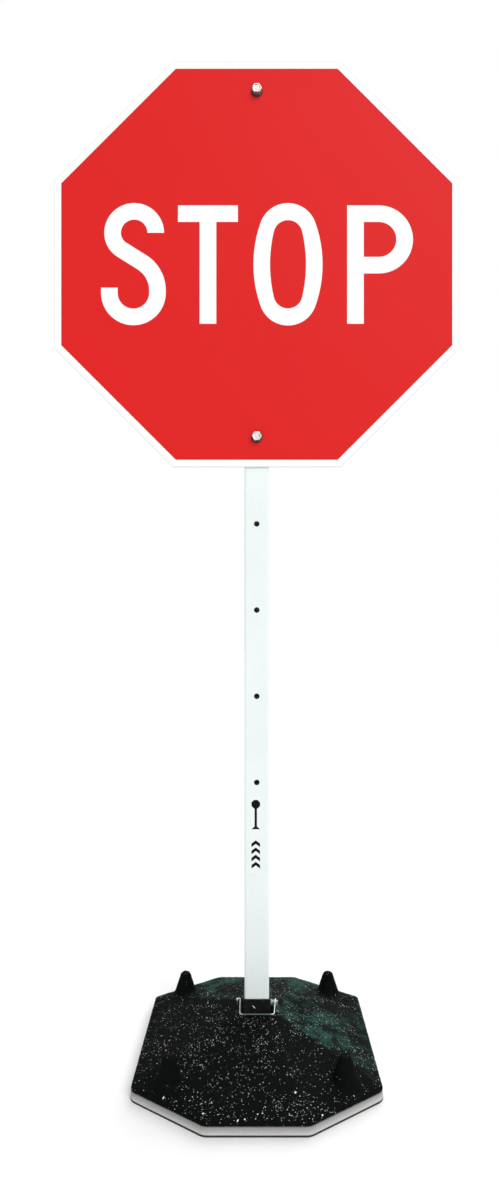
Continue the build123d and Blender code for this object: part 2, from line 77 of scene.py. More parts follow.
class Wiring:
    """Adds nodes to one node tree and links them, for shaders and for geometry."""

    def __init__(self, tree: bpy.types.NodeTree) -> None:
        """Starts on a tree.

        Args:
            tree: the node tree that gets the nodes.
        """
        self.tree = tree

    def feed(self, socket: Socket, value: Any) -> None:
        """Links a socket to another one, or sets its value.

        Args:
            socket: the input to fill.
            value: an output socket, a number, a colour of three numbers or a vector.
        """
        if isinstance(value, bpy.types.NodeSocket):
            self.tree.links.new(value, socket)
        elif socket.type == "RGBA" and len(value) == 3:
            socket.default_value = (*value, 1.0)
        else:
            socket.default_value = value

    def node(
        self, kind: str, inputs: dict[Any, Any] | None = None, **settings: Any
    ) -> bpy.types.Node:
        """Adds a node.

        Args:
            kind: Blender's name for the node's type.
            inputs: what feeds each input, by the input's name or number.
            settings: the node's own properties.

        Returns:
            The new node.
        """
        made = self.tree.nodes.new(kind)
        for name, value in settings.items():
            setattr(made, name, value)
        for key, value in (inputs or {}).items():
            self.feed(made.inputs[key], value)
        return made

    def math(self, operation: str, a: Any, b: Any = 0.0, c: Any = 0.0) -> Socket:
        """Adds a Math node and returns its output."""
        return self.node("ShaderNodeMath", {0: a, 1: b, 2: c}, operation=operation).outputs[0]

    def vector_math(self, operation: str, a: Any, b: Any = (0.0, 0.0, 0.0)) -> Socket:
        """Adds a Vector Math node and returns its vector output."""
        return self.node("ShaderNodeVectorMath", {0: a, 1: b}, operation=operation).outputs[0]

    def scaled(self, vector: Any, factors: Point) -> Socket:
        """Multiplies a vector by a factor on each axis."""
        return self.vector_math("MULTIPLY", vector, factors)

    def length(self, vector: Any) -> Socket:
        """Adds a Vector Math node and returns the vector's length."""
        return self.node("ShaderNodeVectorMath", {0: vector}, operation="LENGTH").outputs["Value"]

    def dot(self, a: Any, b: Any) -> Socket:
        """Adds a Vector Math node and returns the dot product."""
        made = self.node("ShaderNodeVectorMath", {0: a, 1: b}, operation="DOT_PRODUCT")
        return made.outputs["Value"]

    def times(self, vector: Any, factor: Any) -> Socket:
        """Multiplies a vector by one number, which may be a socket."""
        inputs = {0: vector, "Scale": factor}
        return self.node("ShaderNodeVectorMath", inputs, operation="SCALE").outputs[0]

    def joined(self, x: Any = 0.0, y: Any = 0.0, z: Any = 0.0) -> Socket:
        """Makes a vector of X, Y and Z."""
        return self.node("ShaderNodeCombineXYZ", {0: x, 1: y, 2: z}).outputs[0]

    def normal(self) -> Socket:
        """The surface's normal, in a shader."""
        return self.node("ShaderNodeNewGeometry").outputs["Normal"]

    def split(self, vector: Socket) -> tuple[Socket, Socket, Socket]:
        """Takes a vector apart into X, Y and Z."""
        outputs = self.node("ShaderNodeSeparateXYZ", {0: vector}).outputs
        return outputs[0], outputs[1], outputs[2]

    def span(
        self, value: Any, low: Any, high: Any, to_low: Any = 0.0, to_high: Any = 1.0
    ) -> Socket:
        """Maps a range of values smoothly to another, held at its ends."""
        inputs = {0: value, 1: low, 2: high, 3: to_low, 4: to_high}
        return self.node("ShaderNodeMapRange", inputs, interpolation_type="SMOOTHSTEP").outputs[0]

    def blend(self, factor: Any, a: Any, b: Any) -> Socket:
        """Mixes two colours and returns the result."""
        inputs = {MIX_FACTOR: factor, MIX_A: a, MIX_B: b}
        return self.node("ShaderNodeMix", inputs, data_type="RGBA").outputs[MIX_RESULT]

    def noise(
        self, vector: Socket, size: Any, detail: float = 3.0, roughness: float = 0.55
    ) -> Socket:
        """A noise value from 0 to 1.

        Args:
            vector: the coordinates, in metres.
            size: the size of a lump, in metres.
            detail: how many finer layers it has.
            roughness: how strong the finer layers are.

        Returns:
            The noise's value.
        """
        scale = self.math("DIVIDE", 1.0, size)
        inputs = {"Vector": vector, "Scale": scale, "Detail": detail, "Roughness": roughness}
        return self.node("ShaderNodeTexNoise", inputs).outputs["Fac"]

    def cells(self, vector: Socket, size: Any) -> bpy.types.Node:
        """A Voronoi node whose cells are of a size given in metres."""
        inputs = {"Vector": vector, "Scale": self.math("DIVIDE", 1.0, size)}
        return self.node("ShaderNodeTexVoronoi", inputs)

    def group(self, tree: bpy.types.NodeTree, **inputs: Any) -> bpy.types.Node:
        """Places a node group.

        Args:
            tree: the group's tree.
            inputs: its inputs by name, with underscores for spaces.

        Returns:
            The group node.
        """
        kind = "ShaderNodeGroup" if tree.type == "SHADER" else "GeometryNodeGroup"
        made = self.node(kind, node_tree=tree)
        for name, value in inputs.items():
            self.feed(made.inputs[name.replace("_", " ")], value)
        return made


def new_tree(
    name: str, kind: str, takes: dict[str, Pattern], gives: dict[str, Pattern]
) -> tuple[Wiring, dict[str, Socket], bpy.types.Node]:
    """Makes an empty node group with named sockets.

    Args:
        name: the group's name.
        kind: ShaderNodeTree or GeometryNodeTree.
        takes: the inputs' names and kinds.
        gives: the outputs' names and kinds.

    Returns:
        The wiring on the tree, the inputs by name, and the output node.
    """
    tree = bpy.data.node_groups.new(name, kind)
    for label, pattern in takes.items():
        tree.interface.new_socket(label, in_out="INPUT", socket_type=pattern.value)
    for label, pattern in gives.items():
        tree.interface.new_socket(label, in_out="OUTPUT", socket_type=pattern.value)
    wiring = Wiring(tree)
    start = wiring.node("NodeGroupInput")
    end = wiring.node("NodeGroupOutput")
    return wiring, {socket.name: socket for socket in start.outputs if socket.name}, end


def surface_tree(
    name: str, **takes: Pattern
) -> tuple[Wiring, dict[str, Socket], bpy.types.Node]:
    """Makes an empty geometry tree that turns a mesh into a finished mesh.

    Args:
        name: the tree's name.
        takes: the inputs besides the mesh and its finish, with their kinds.

    Returns:
        The wiring on the tree, the inputs by name, and the output node.
    """
    every = {"Geometry": Pattern.GEOMETRY, **takes, "Finish": Pattern.MATERIAL}
    return new_tree(name, "GeometryNodeTree", every, {"Geometry": Pattern.GEOMETRY})


def end_with_finish(
    wiring: Wiring, mesh: Socket, given: dict[str, Socket], end: bpy.types.Node
) -> None:
    """Ends a geometry tree with its finish.

    Args:
        wiring: the wiring on the tree.
        mesh: the mesh so far.
        given: the tree's inputs.
        end: the tree's output node.
    """
    inputs = {"Geometry": mesh, "Material": given["Finish"]}
    worn = wiring.node("GeometryNodeSetMaterial", inputs)
    wiring.feed(end.inputs[0], worn.outputs[0])


# ---- Effects that several finishes share ----


@cache
def edge_wear() -> bpy.types.NodeTree:
    """A mask of outer edges, broken up by noise: where a coating rubs off.

    Returns:
        The group's tree.
    """
    takes = {"Vector": Pattern.VECTOR, "Width": Pattern.VALUE, "Breakup": Pattern.VALUE}
    wiring, given, end = new_tree("edge wear", "ShaderNodeTree", takes, {"Mask": Pattern.VALUE})
    rounded = wiring.node("ShaderNodeBevel", {"Radius": given["Width"]}, samples=4).outputs[0]
    edge = wiring.span(wiring.dot(rounded, wiring.normal()), 0.985, 0.86)
    ragged = wiring.noise(given["Vector"], given["Breakup"], 5.0, 0.7)
    wiring.feed(end.inputs[0], wiring.math("MULTIPLY", edge, wiring.span(ragged, 0.45, 0.62)))
    return wiring.tree


@cache
def orange_peel() -> bpy.types.NodeTree:
    """The faint dimpled surface of a sprayed or powder coat: a height, and a slow tone.

    Returns:
        The group's tree.
    """
    takes = {"Vector": Pattern.VECTOR, "Size": Pattern.VALUE}
    gives = {"Height": Pattern.VALUE, "Tone": Pattern.VALUE}
    wiring, given, end = new_tree("orange peel", "ShaderNodeTree", takes, gives)
    wiring.feed(end.inputs[0], wiring.noise(given["Vector"], given["Size"], 2.0, 0.4))
    wide = wiring.math("MULTIPLY", given["Size"], 45.0)
    wiring.feed(end.inputs[1], wiring.noise(given["Vector"], wide, 3.0, 0.5))
    return wiring.tree


@cache
def scratches() -> bpy.types.NodeTree:
    """A mask of thin straight scratches in two directions.

    Returns:
        The group's tree.
    """
    takes = {"Vector": Pattern.VECTOR, "Length": Pattern.VALUE, "Amount": Pattern.VALUE}
    wiring, given, end = new_tree("scratches", "ShaderNodeTree", takes, {"Mask": Pattern.VALUE})
    masks = []
    for angle in (0.5, 2.1):
        inputs = {"Vector": given["Vector"], "Angle": angle}
        turned = wiring.node("ShaderNodeVectorRotate", inputs, rotation_type="Y_AXIS").outputs[0]
        fine = wiring.noise(wiring.scaled(turned, (1.0, 12.0, 38.0)), given["Length"], 2.0, 0.5)
        keep = wiring.math("SUBTRACT", 0.74, wiring.math("MULTIPLY", given["Amount"], 0.12))
        masks.append(wiring.span(fine, keep, wiring.math("ADD", keep, 0.03)))
    wiring.feed(end.inputs[0], wiring.math("MAXIMUM", *masks))
    return wiring.tree


@cache
def settled_dust() -> bpy.types.NodeTree:
    """A mask of dust: on what faces up, and near the ground, in soft patches.

    Returns:
        The group's tree.
    """
    takes = {"Vector": Pattern.VECTOR, "Reach": Pattern.VALUE, "Patch": Pattern.VALUE}
    wiring, given, end = new_tree("settled dust", "ShaderNodeTree", takes, {"Mask": Pattern.VALUE})
    up = wiring.split(wiring.normal())[2]
    height = wiring.split(given["Vector"])[2]
    low = wiring.span(height, given["Reach"], 0.0)
    patch = wiring.noise(given["Vector"], given["Patch"], 5.0, 0.65)
    lying = wiring.math("MULTIPLY", wiring.span(up, 0.1, 0.95), 0.6)
    both = wiring.math("MAXIMUM", lying, low)
    wiring.feed(end.inputs[0], wiring.math("MULTIPLY", both, wiring.span(patch, 0.35, 0.75)))
    return wiring.tree


@cache
def crumbs() -> bpy.types.NodeTree:
    """Pressed rubber crumbs: their height, a tone for each, and a mask of the pale ones.

    Returns:
        The group's tree.
    """
    takes = {"Vector": Pattern.VECTOR, "Size": Pattern.VALUE, "Pale": Pattern.VALUE}
    gives = {"Height": Pattern.VALUE, "Tone": Pattern.VALUE, "Flecks": Pattern.VALUE}
    wiring, given, end = new_tree("crumbs", "ShaderNodeTree", takes, gives)
    inputs = {"Vector": given["Vector"], "Scale": 420.0, "Detail": 2.0}
    warp = wiring.node("ShaderNodeTexNoise", inputs).outputs["Color"]
    shift = wiring.scaled(warp, (1.2 * MM, 1.2 * MM, 1.2 * MM))
    shifted = wiring.vector_math("ADD", given["Vector"], shift)
    coarse = wiring.cells(shifted, given["Size"])
    fine = wiring.cells(shifted, wiring.math("MULTIPLY", given["Size"], 0.45))
    depth = wiring.math("MULTIPLY_ADD", fine.outputs["Distance"], 0.45, coarse.outputs["Distance"])
    wiring.feed(end.inputs[0], wiring.math("SUBTRACT", 1.0, depth))
    wiring.feed(end.inputs[1], wiring.split(coarse.outputs["Color"])[0])
    flecks: list[Socket] = []
    for cell, share, core in ((coarse, 0.10, (0.30, 0.18)), (fine, 1.0, (0.40, 0.24))):
        lot = wiring.split(cell.outputs["Color"])[1]
        limit = wiring.math("SUBTRACT", 1.0, wiring.math("MULTIPLY", given["Pale"], share))
        inside = wiring.span(cell.outputs["Distance"], *core)
        flecks.append(wiring.math("MULTIPLY", wiring.math("GREATER_THAN", lot, limit), inside))
    wiring.feed(end.inputs[2], wiring.math("MAXIMUM", *flecks))
    return wiring.tree


@cache
def painted_light_by_facing() -> bpy.types.NodeTree:
    """A mask of the slopes that lean one way, in patches, where light or shade is painted: a green
    sheen on the rubber, a shadow on the bolt heads.

    Returns:
        The group's tree.
    """
    takes = {"Vector": Pattern.VECTOR, "Lean": Pattern.VECTOR, "Patch": Pattern.VALUE}
    wiring, given, end = new_tree("weather side", "ShaderNodeTree", takes, {"Mask": Pattern.VALUE})
    toward = wiring.dot(wiring.normal(), given["Lean"])
    patch = wiring.noise(given["Vector"], given["Patch"], 5.0, 0.6)
    lean = wiring.math("MULTIPLY_ADD", patch, 0.5, wiring.math("SUBTRACT", toward, 0.22))
    blotch = wiring.noise(given["Vector"], wiring.math("MULTIPLY", given["Patch"], 0.3), 4.0, 0.6)
    leaning, broken = wiring.span(lean, 0.0, 0.22), wiring.span(blotch, 0.36, 0.62)
    wiring.feed(end.inputs[0], wiring.math("MULTIPLY", leaning, broken))
    return wiring.tree


@cache
def prism_cells() -> bpy.types.NodeTree:
    """The honeycomb seal lines of reflective sheeting on a face that looks along Y.

    Returns:
        The group's tree.
    """
    takes = {"Vector": Pattern.VECTOR, "Cell": Pattern.VALUE}
    gives = {"Lines": Pattern.VALUE, "Cloud": Pattern.VALUE}
    wiring, given, end = new_tree("prism cells", "ShaderNodeTree", takes, gives)
    x, _, z = wiring.split(given["Vector"])
    across = wiring.math("DIVIDE", x, given["Cell"])
    along = wiring.math("DIVIDE", z, given["Cell"])
    waves = []
    for angle in (0.0, 60.0, 120.0):
        turn = math.radians(angle)
        part = wiring.math("MULTIPLY", across, math.cos(turn))
        line = wiring.math("MULTIPLY_ADD", along, math.sin(turn), part)
        wave = wiring.math("SINE", wiring.math("MULTIPLY", line, math.pi))
        waves.append(wiring.math("ABSOLUTE", wave))
    nearest = wiring.math("MINIMUM", waves[0], wiring.math("MINIMUM", waves[1], waves[2]))
    wiring.feed(end.inputs[0], wiring.span(nearest, 0.16, 0.03))
    wiring.feed(end.inputs[1], wiring.noise(given["Vector"], 0.16, 4.0, 0.5))
    return wiring.tree


# ---- Finishes ----


def toned(colour: Colour, factor: float) -> Colour:
    """Makes a colour darker or lighter by a factor."""
    red, green, blue = colour
    return factor * red, factor * green, factor * blue


class Shading(Wiring):
    """The wiring of one material, with its Principled shader and coordinates at hand."""

    def __init__(self, name: str) -> None:
        """Makes the material.

        Args:
            name: the material's name.
        """
        self.material = bpy.data.materials.new(name)
        self.material.use_nodes = True
        super().__init__(self.material.node_tree)
        self.tree.nodes.clear()
        self.surface = self.node("ShaderNodeBsdfPrincipled")
        output = self.node("ShaderNodeOutputMaterial")
        self.tree.links.new(self.surface.outputs[0], output.inputs[0])
        self.place = self.node("ShaderNodeTexCoord").outputs["Object"]

    def set(self, **inputs: Any) -> None:
        """Feeds the Principled shader's inputs, named with underscores for spaces."""
        for name, value in inputs.items():
            self.feed(self.surface.inputs[name.replace("_", " ")], value)

    def mask(self, tree: bpy.types.NodeTree, **inputs: Any) -> Socket:
        """Places a shared group on the material's coordinates and returns its first output."""
        return self.group(tree, Vector=self.place, **inputs).outputs[0]

    def bump(self, height: Socket, depth: float, strength: float = 1.0) -> None:
        """Feeds a height, in units of depth metres, to the shader's normal."""
        inputs = {"Height": height, "Distance": depth, "Strength": strength}
        self.set(Normal=self.node("ShaderNodeBump", inputs).outputs[0])


@dataclass(frozen=True)
class Finish:
    """A finish with a name. Each kind of finish paints its own material."""

    name: str

    def paint(self, s: Shading) -> None:
        """Fills in the material's nodes."""
        raise NotImplementedError

    def material(self) -> bpy.types.Material:
        """Makes the finish's material on the first call, and finds it again later.

        Returns:
            The finish's material.
        """
        known = bpy.data.materials.get(self.name)
        if known:
            return known
        shading = Shading(self.name)
        self.paint(shading)
        return shading.material


@dataclass(frozen=True)
class CrumbRubber(Finish):
    """Recycled tyre crumbs, bound and pressed in a mould.

    The green on the slopes that lean towards the back is a painted sheen. Painted shadow spots, by
    the post and the cones, have none of it, and painted light spots have more. Each is an X, a Y
    and a radius.
    """

    dark: Colour = (0.0022, 0.0026, 0.0026)
    # The colour of the painted green sheen.
    painted_sheen: Colour = (0.023, 0.080, 0.063)
    fleck: Colour = (0.62, 0.66, 0.64)
    crumb: float = 3.2 * MM
    pale: float = 0.08
    lean: Point = (0.28, 1.1, 0.0)
    sheen_patch: float = 90 * MM
    ragged: float = 22 * MM
    clump: float = 32 * MM
    height_of_crumbs: float = 0.5 * MM
    # Painted shadow and reflection of the post and the cones: no sheen here.
    painted_shadow_spots: tuple[Point, ...] = (
        (0.0, 100 * MM, 62 * MM),
        (-121 * MM, 108 * MM, 48 * MM),
        (121 * MM, 108 * MM, 48 * MM),
        (-121 * MM, -118 * MM, 40 * MM),
        (121 * MM, -118 * MM, 40 * MM),
    )
    # Painted light: spots where the painted sheen is stronger.
    painted_light_spots: tuple[Point, ...] = (
        (62 * MM, -18 * MM, 66 * MM),
        (-84 * MM, 128 * MM, 66 * MM),
        (80 * MM, 138 * MM, 48 * MM),
    )

    def clear_of(self, s: Shading, spots: Sequence[Point], soft: float) -> Socket:
        """Masks some ragged spots of the block.

        Args:
            s: the material's wiring.
            spots: the spots' X, Y and radius.
            soft: how far each edge fades, as a share of the radius.

        Returns:
            A mask that is 0 on the spots and 1 elsewhere.
        """
        ragged = s.noise(s.place, self.ragged, 4.0, 0.6)
        clear: Any = 1.0
        for x, y, reach in spots:
            away = s.scaled(s.vector_math("SUBTRACT", s.place, (x, y, 0.0)), (1.0, 1.0, 0.0))
            edge = s.math("MULTIPLY_ADD", ragged, -2.4 * reach, s.length(away))
            outside = s.span(edge, -0.5 * reach - soft * reach, soft * reach)
            clear = s.math("MULTIPLY", clear, outside)
        return clear

    def paint(self, s: Shading) -> None:
        """Crumbs of different blacks, pale flecks, and a painted green sheen on the slopes that
        lean towards the back.

        Args:
            s: the material's wiring.
        """
        # Painted green sheen on the slopes that lean towards the back, kept off the painted shadow
        # spots and stronger on the painted light spots.
        lean = s.mask(painted_light_by_facing(), Lean=self.lean, Patch=self.sheen_patch)
        outside_shadow_spots = self.clear_of(s, self.painted_shadow_spots, 0.1)
        light_spot_gain = s.span(self.clear_of(s, self.painted_light_spots, 0.3), 1.0, 0.0, 0.55, 2.1)
        open_slope = s.math("MULTIPLY", lean, outside_shadow_spots)
        sheen_mask = s.math("MINIMUM", s.math("MULTIPLY", open_slope, light_spot_gain), 1.0)
        clumps = s.span(s.noise(s.place, self.clump, 4.0, 0.6), 0.40, 0.66, 0.12, 1.0)
        # Fewer pale flecks show under the painted sheen and in the painted shadow spots.
        pale = s.math("MULTIPLY", clumps, s.span(sheen_mask, 0.0, 1.0, self.pale, 0.4 * self.pale))
        pale = s.math("MULTIPLY", pale, s.span(outside_shadow_spots, 0.0, 1.0, 0.1, 1.0))
        parts = s.group(crumbs(), Vector=s.place, Size=self.crumb, Pale=pale)
        base = s.blend(parts.outputs["Tone"], self.dark, toned(self.dark, 2.4))
        # The painted sheen is stronger on lighter crumbs.
        strength = s.math("MULTIPLY", sheen_mask, s.span(parts.outputs["Tone"], 0.0, 1.0, 0.35, 1.0))
        base = s.blend(strength, base, self.painted_sheen)
        s.set(
            Base_Color=s.blend(parts.outputs["Flecks"], base, self.fleck),
            Roughness=s.span(parts.outputs["Tone"], 0.0, 1.0, 0.55, 0.9),
            Specular_IOR_Level=0.025,
        )
        s.bump(parts.outputs["Height"], self.height_of_crumbs, 0.8)


@dataclass(frozen=True)
class FleckChip(Finish):
    """The pale chips of other rubber in the block, each with a tone of its own."""

    light: Colour = (0.92, 0.95, 0.93)
    dull: Colour = (0.62, 0.66, 0.64)

    def paint(self, s: Shading) -> None:
        """Reads each chip's tone from the chip itself, and mottles it.

        Args:
            s: the material's wiring.
        """
        tone = s.node("ShaderNodeAttribute", attribute_name="tone").outputs["Fac"]
        mottle = s.noise(s.place, 0.7 * MM, 3.0, 0.6)
        shade = s.math("MULTIPLY_ADD", mottle, 0.4, s.math("SUBTRACT", tone, 0.1))
        s.set(
            Base_Color=s.blend(s.span(shade, 0.0, 0.8), self.dull, self.light),
            Roughness=s.span(mottle, 0.3, 0.7, 0.5, 0.7),
        )
        s.bump(mottle, 0.12 * MM, 0.6)


@dataclass(frozen=True)
class SoleRubber(Finish):
    """Pale grey moulded rubber with fine upright ribs, with painted shade under the block's edge
    and a painted contact shadow at its foot.
    """

    # upper is the grey under painted shade, lower the sole's own grey, and foot the painted contact
    # shadow.
    upper: Colour = (0.29, 0.29, 0.285)
    lower: Colour = (0.60, 0.60, 0.59)
    foot: Colour = (0.035, 0.035, 0.034)
    dust: Colour = (0.30, 0.29, 0.27)
    pore: Colour = (0.12, 0.12, 0.115)
    foot_height: float = 2.9 * MM
    rib: float = 2.4 * MM
    rib_radius: float = 0.17
    top: float = 12 * MM

    def paint(self, s: Shading) -> None:
        """Grey darkened upwards by painted shade, with ribs, pores, a little dust and a painted
        contact shadow at the foot.

        Args:
            s: the material's wiring.
        """
        height = s.split(s.place)[2]
        # Painted shade: darker towards the top, under the block's edge.
        rise = s.span(height, 0.1 * self.top, 0.98 * self.top)
        grain = s.noise(s.place, 0.9 * MM, 4.0, 0.6)
        mottle = s.noise(s.place, 14 * MM, 4.0, 0.6)
        colour = s.blend(rise, self.lower, self.upper)
        dusty = s.blend(0.5, colour, self.dust)
        colour = s.blend(s.span(mottle, 0.35, 0.75, 0.0, 0.35), colour, dusty)
        colour = s.blend(s.span(grain, 0.58, 0.72, 0.0, 0.4), colour, self.pore)
        # Painted contact shadow along the foot, with a ragged top.
        ragged = s.math("MULTIPLY_ADD", mottle, 0.6 * MM, height)
        contact_shadow = s.span(ragged, self.foot_height + 0.5 * MM, self.foot_height - 0.3 * MM)
        colour = s.blend(contact_shadow, colour, self.foot)
        x, y, _ = s.split(s.place)
        ribs_per_radian = self.rib_radius / self.rib * 2 * math.pi
        turns = s.math("MULTIPLY", s.math("ARCTAN2", y, x), ribs_per_radian)
        ribs = s.math("SINE", turns)
        s.set(
            Base_Color=colour,
            Roughness=s.span(grain, 0.3, 0.7, 0.7, 0.88),
            Specular_IOR_Level=0.3,
        )
        s.bump(s.math("MULTIPLY_ADD", ribs, 0.35, grain), 0.25 * MM, 0.8)


@dataclass(frozen=True)
class Coat(Finish):
    """Powder coat over steel. A nick, where there is one, is a length and a width at a place."""

    colour: Colour = (0.8, 0.8, 0.8)
    worn: Colour = (0.32, 0.31, 0.30)
    peel: float = 1.6 * MM
    rough: float = 0.36
    dusty: float = 0.10
    dust_reach: float = 0.3
    wear_width: float = 0.8 * MM
    gloss: float = 0.4
    dust: Colour = (0.42, 0.39, 0.34)
    bare: Colour = (0.75, 0.77, 0.76)
    nick: Point | None = None
    nick_size: tuple[float, float] = (6.5 * MM, 1.6 * MM)
    nick_angle: float = 45.0

    def nick_mask(self, s: Shading) -> Socket:
        """Masks the one deep nick, a slanted sliver on the front.

        Args:
            s: the material's wiring.

        Returns:
            The mask.
        """
        away = s.vector_math("SUBTRACT", s.place, self.nick)
        inputs = {"Vector": away, "Angle": math.radians(self.nick_angle)}
        turned = s.node("ShaderNodeVectorRotate", inputs, rotation_type="Y_AXIS").outputs[0]
        length, width = self.nick_size
        stretched = s.scaled(turned, (2 / length, 2 / (10 * width), 2 / width))
        torn = s.noise(s.place, 0.8 * MM, 3.0, 0.6)
        ragged = s.math("MULTIPLY_ADD", torn, 0.9, s.length(stretched))
        return s.span(ragged, 1.45, 1.1)

    def paint(self, s: Shading) -> None:
        """A dimpled coat that is rubbed off at its edges, with scuffs, and dust near the ground.

        Args:
            s: the material's wiring.
        """
        skin = s.group(orange_peel(), Vector=s.place, Size=self.peel)
        wear = s.mask(edge_wear(), Width=self.wear_width, Breakup=6 * MM)
        marks = s.mask(scratches(), Length=30 * MM, Amount=0.3)
        dust = s.mask(settled_dust(), Reach=self.dust_reach, Patch=0.03)
        slow = s.span(skin.outputs["Tone"], 0.3, 0.7)
        colour = s.blend(slow, toned(self.colour, 0.965), self.colour)
        colour = s.blend(s.math("MULTIPLY", dust, self.dusty), colour, self.dust)
        colour = s.blend(s.math("MULTIPLY", marks, 0.22), colour, self.worn)
        if self.nick:
            colour = s.blend(self.nick_mask(s), colour, self.bare)
        smooth = s.span(slow, 0.0, 1.0, self.rough, self.rough + 0.08)
        s.set(
            Base_Color=s.blend(wear, colour, self.worn),
            Roughness=s.math("ADD", smooth, s.math("MULTIPLY", dust, 0.3)),
            Metallic=s.math("MULTIPLY", wear, 0.7),
            Specular_IOR_Level=self.gloss,
        )
        worn_down = s.math("SUBTRACT", skin.outputs["Height"], s.math("MULTIPLY", wear, 0.6))
        s.bump(worn_down, 0.09 * MM, 0.7)


@dataclass(frozen=True)
class ZincPlate(Finish):
    """Bright zinc over turned or formed steel.

    The part left of dark_from is darker, and a painted shadow lies on what leans the way of
    shadow_lean.
    """

    colour: Colour = (0.90, 0.875, 0.83)
    shade: Colour = (0.30, 0.27, 0.24)
    polished: Colour = (0.90, 0.89, 0.86)
    rough: float = 0.38
    lump: float = 1.2 * MM
    dark_from: float | None = None
    # The colour of the painted shadow, and of the darker tip end.
    shadow_and_tip_dark: Colour = (0.012, 0.013, 0.013)
    shadow_lean: Point | None = None

    def paint(self, s: Shading) -> None:
        """Cloudy plating with tarnish in patches, pits, brighter edges, a painted shadow on one
        side where shadow_lean is given, and a darker end left of dark_from.

        Args:
            s: the material's wiring.
        """
        cloud = s.noise(s.place, self.lump, 5.0, 0.65)
        tarnish = s.noise(s.place, 6.0 * self.lump, 4.0, 0.6)
        bright = s.mask(edge_wear(), Width=0.35 * MM, Breakup=2 * MM)
        colour = s.blend(s.span(cloud, 0.35, 0.7), self.colour, toned(self.colour, 0.72))
        colour = s.blend(s.span(tarnish, 0.56, 0.8, 0.0, 0.6), colour, self.shade)
        speck = s.noise(s.place, 0.9 * self.lump, 2.0, 0.4)
        colour = s.blend(s.span(speck, 0.61, 0.67, 0.0, 0.85), colour, toned(self.shade, 0.4))
        colour = s.blend(s.math("MULTIPLY", bright, 0.7), colour, self.polished)
        # Painted shadow on the side that leans the way of shadow_lean.
        if self.shadow_lean:
            under = s.mask(painted_light_by_facing(), Lean=self.shadow_lean, Patch=14 * MM)
            colour = s.blend(s.math("MULTIPLY", under, 0.92), colour, self.shadow_and_tip_dark)
        # The part left of dark_from is darker, towards the pin's tip.
        if self.dark_from is not None:
            across = s.math("MULTIPLY_ADD", cloud, 3 * MM, s.split(s.place)[0])
            darker_end = s.span(across, self.dark_from + 2 * MM, self.dark_from)
            colour = s.blend(darker_end, colour, self.shadow_and_tip_dark)
        s.set(
            Base_Color=colour,
            Metallic=1.0,
            Roughness=s.span(cloud, 0.3, 0.75, self.rough, self.rough + 0.24),
        )
        s.bump(cloud, 0.05 * MM, 0.8)


@dataclass(frozen=True)
class Spangle(Finish):
    """Hot-dip galvanised plate, with its frosted crystals."""

    crystal: float = 7 * MM
    dark: Colour = (0.34, 0.35, 0.36)
    light: Colour = (0.62, 0.63, 0.64)

    def paint(self, s: Shading) -> None:
        """Flat crystals of different greys, with a fine grain.

        Args:
            s: the material's wiring.
        """
        flake = s.cells(s.place, self.crystal)
        tone = s.split(flake.outputs["Color"])[0]
        grain = s.noise(s.place, 0.6 * MM, 3.0, 0.6)
        s.set(
            Base_Color=s.blend(tone, self.dark, self.light),
            Metallic=0.9,
            Roughness=s.span(tone, 0.0, 1.0, 0.38, 0.62),
        )
        s.bump(s.math("MULTIPLY_ADD", tone, 0.4, grain), 0.04 * MM, 0.6)


@dataclass(frozen=True)
class DrawnWire(Finish):
    """Zinc-plated spring wire with faint drawing lines, brighter at its bends and legs, from
    rubbing and a painted highlight.
    """

    bright: Colour = (0.86, 0.90, 0.88)
    dull: Colour = (0.13, 0.21, 0.18)
    tarnish: Colour = (0.16, 0.18, 0.17)
    bend_highlight_start: float = 20.0 * MM

    def paint(self, s: Shading) -> None:
        """Streaked metal, dull along the front run, with darker tarnish in patches.

        Args:
            s: the material's wiring.
        """
        streak = s.noise(s.scaled(s.place, (0.15, 1.0, 1.0)), 0.35 * MM, 3.0, 0.6)
        patches = s.noise(s.place, 5 * MM, 4.0, 0.6)
        # Painted highlight, with rubbing, beyond bend_highlight_start: the bends and legs are
        # brighter than the dull front run.
        reach = s.math("ABSOLUTE", s.split(s.place)[0])
        rubbed = s.span(reach, self.bend_highlight_start, self.bend_highlight_start + 3 * MM)
        colour = s.blend(rubbed, self.dull, self.bright)
        colour = s.blend(s.span(streak, 0.3, 0.7), colour, s.blend(0.35, colour, self.tarnish))
        s.set(
            Base_Color=s.blend(s.span(patches, 0.50, 0.68, 0.0, 0.75), colour, self.tarnish),
            Metallic=1.0,
            Roughness=s.span(streak, 0.2, 0.8, 0.24, 0.44),
        )
        s.bump(streak, 0.02 * MM, 0.6)


@dataclass(frozen=True)
class Moulded(Finish):
    """Injection-moulded plastic with a fine spark-eroded grain."""

    colour: Colour = (0.012, 0.012, 0.013)
    rubbed: Colour = (0.16, 0.16, 0.16)
    rough: float = 0.5

    def paint(self, s: Shading) -> None:
        """One colour with slow tone changes, grain, and rubbed edges.

        Args:
            s: the material's wiring.
        """
        grain = s.noise(s.place, 0.35 * MM, 3.0, 0.6)
        slow = s.noise(s.place, 12 * MM, 3.0, 0.5)
        rubbed = s.mask(edge_wear(), Width=0.5 * MM, Breakup=2.5 * MM)
        colour = s.blend(slow, self.colour, tuple(1.6 * c + 0.004 for c in self.colour))
        s.set(
            Base_Color=s.blend(s.math("MULTIPLY", rubbed, 0.5), colour, self.rubbed),
            Roughness=s.span(grain, 0.3, 0.7, self.rough, self.rough + 0.18),
        )
        s.bump(grain, 0.05 * MM, 0.6)


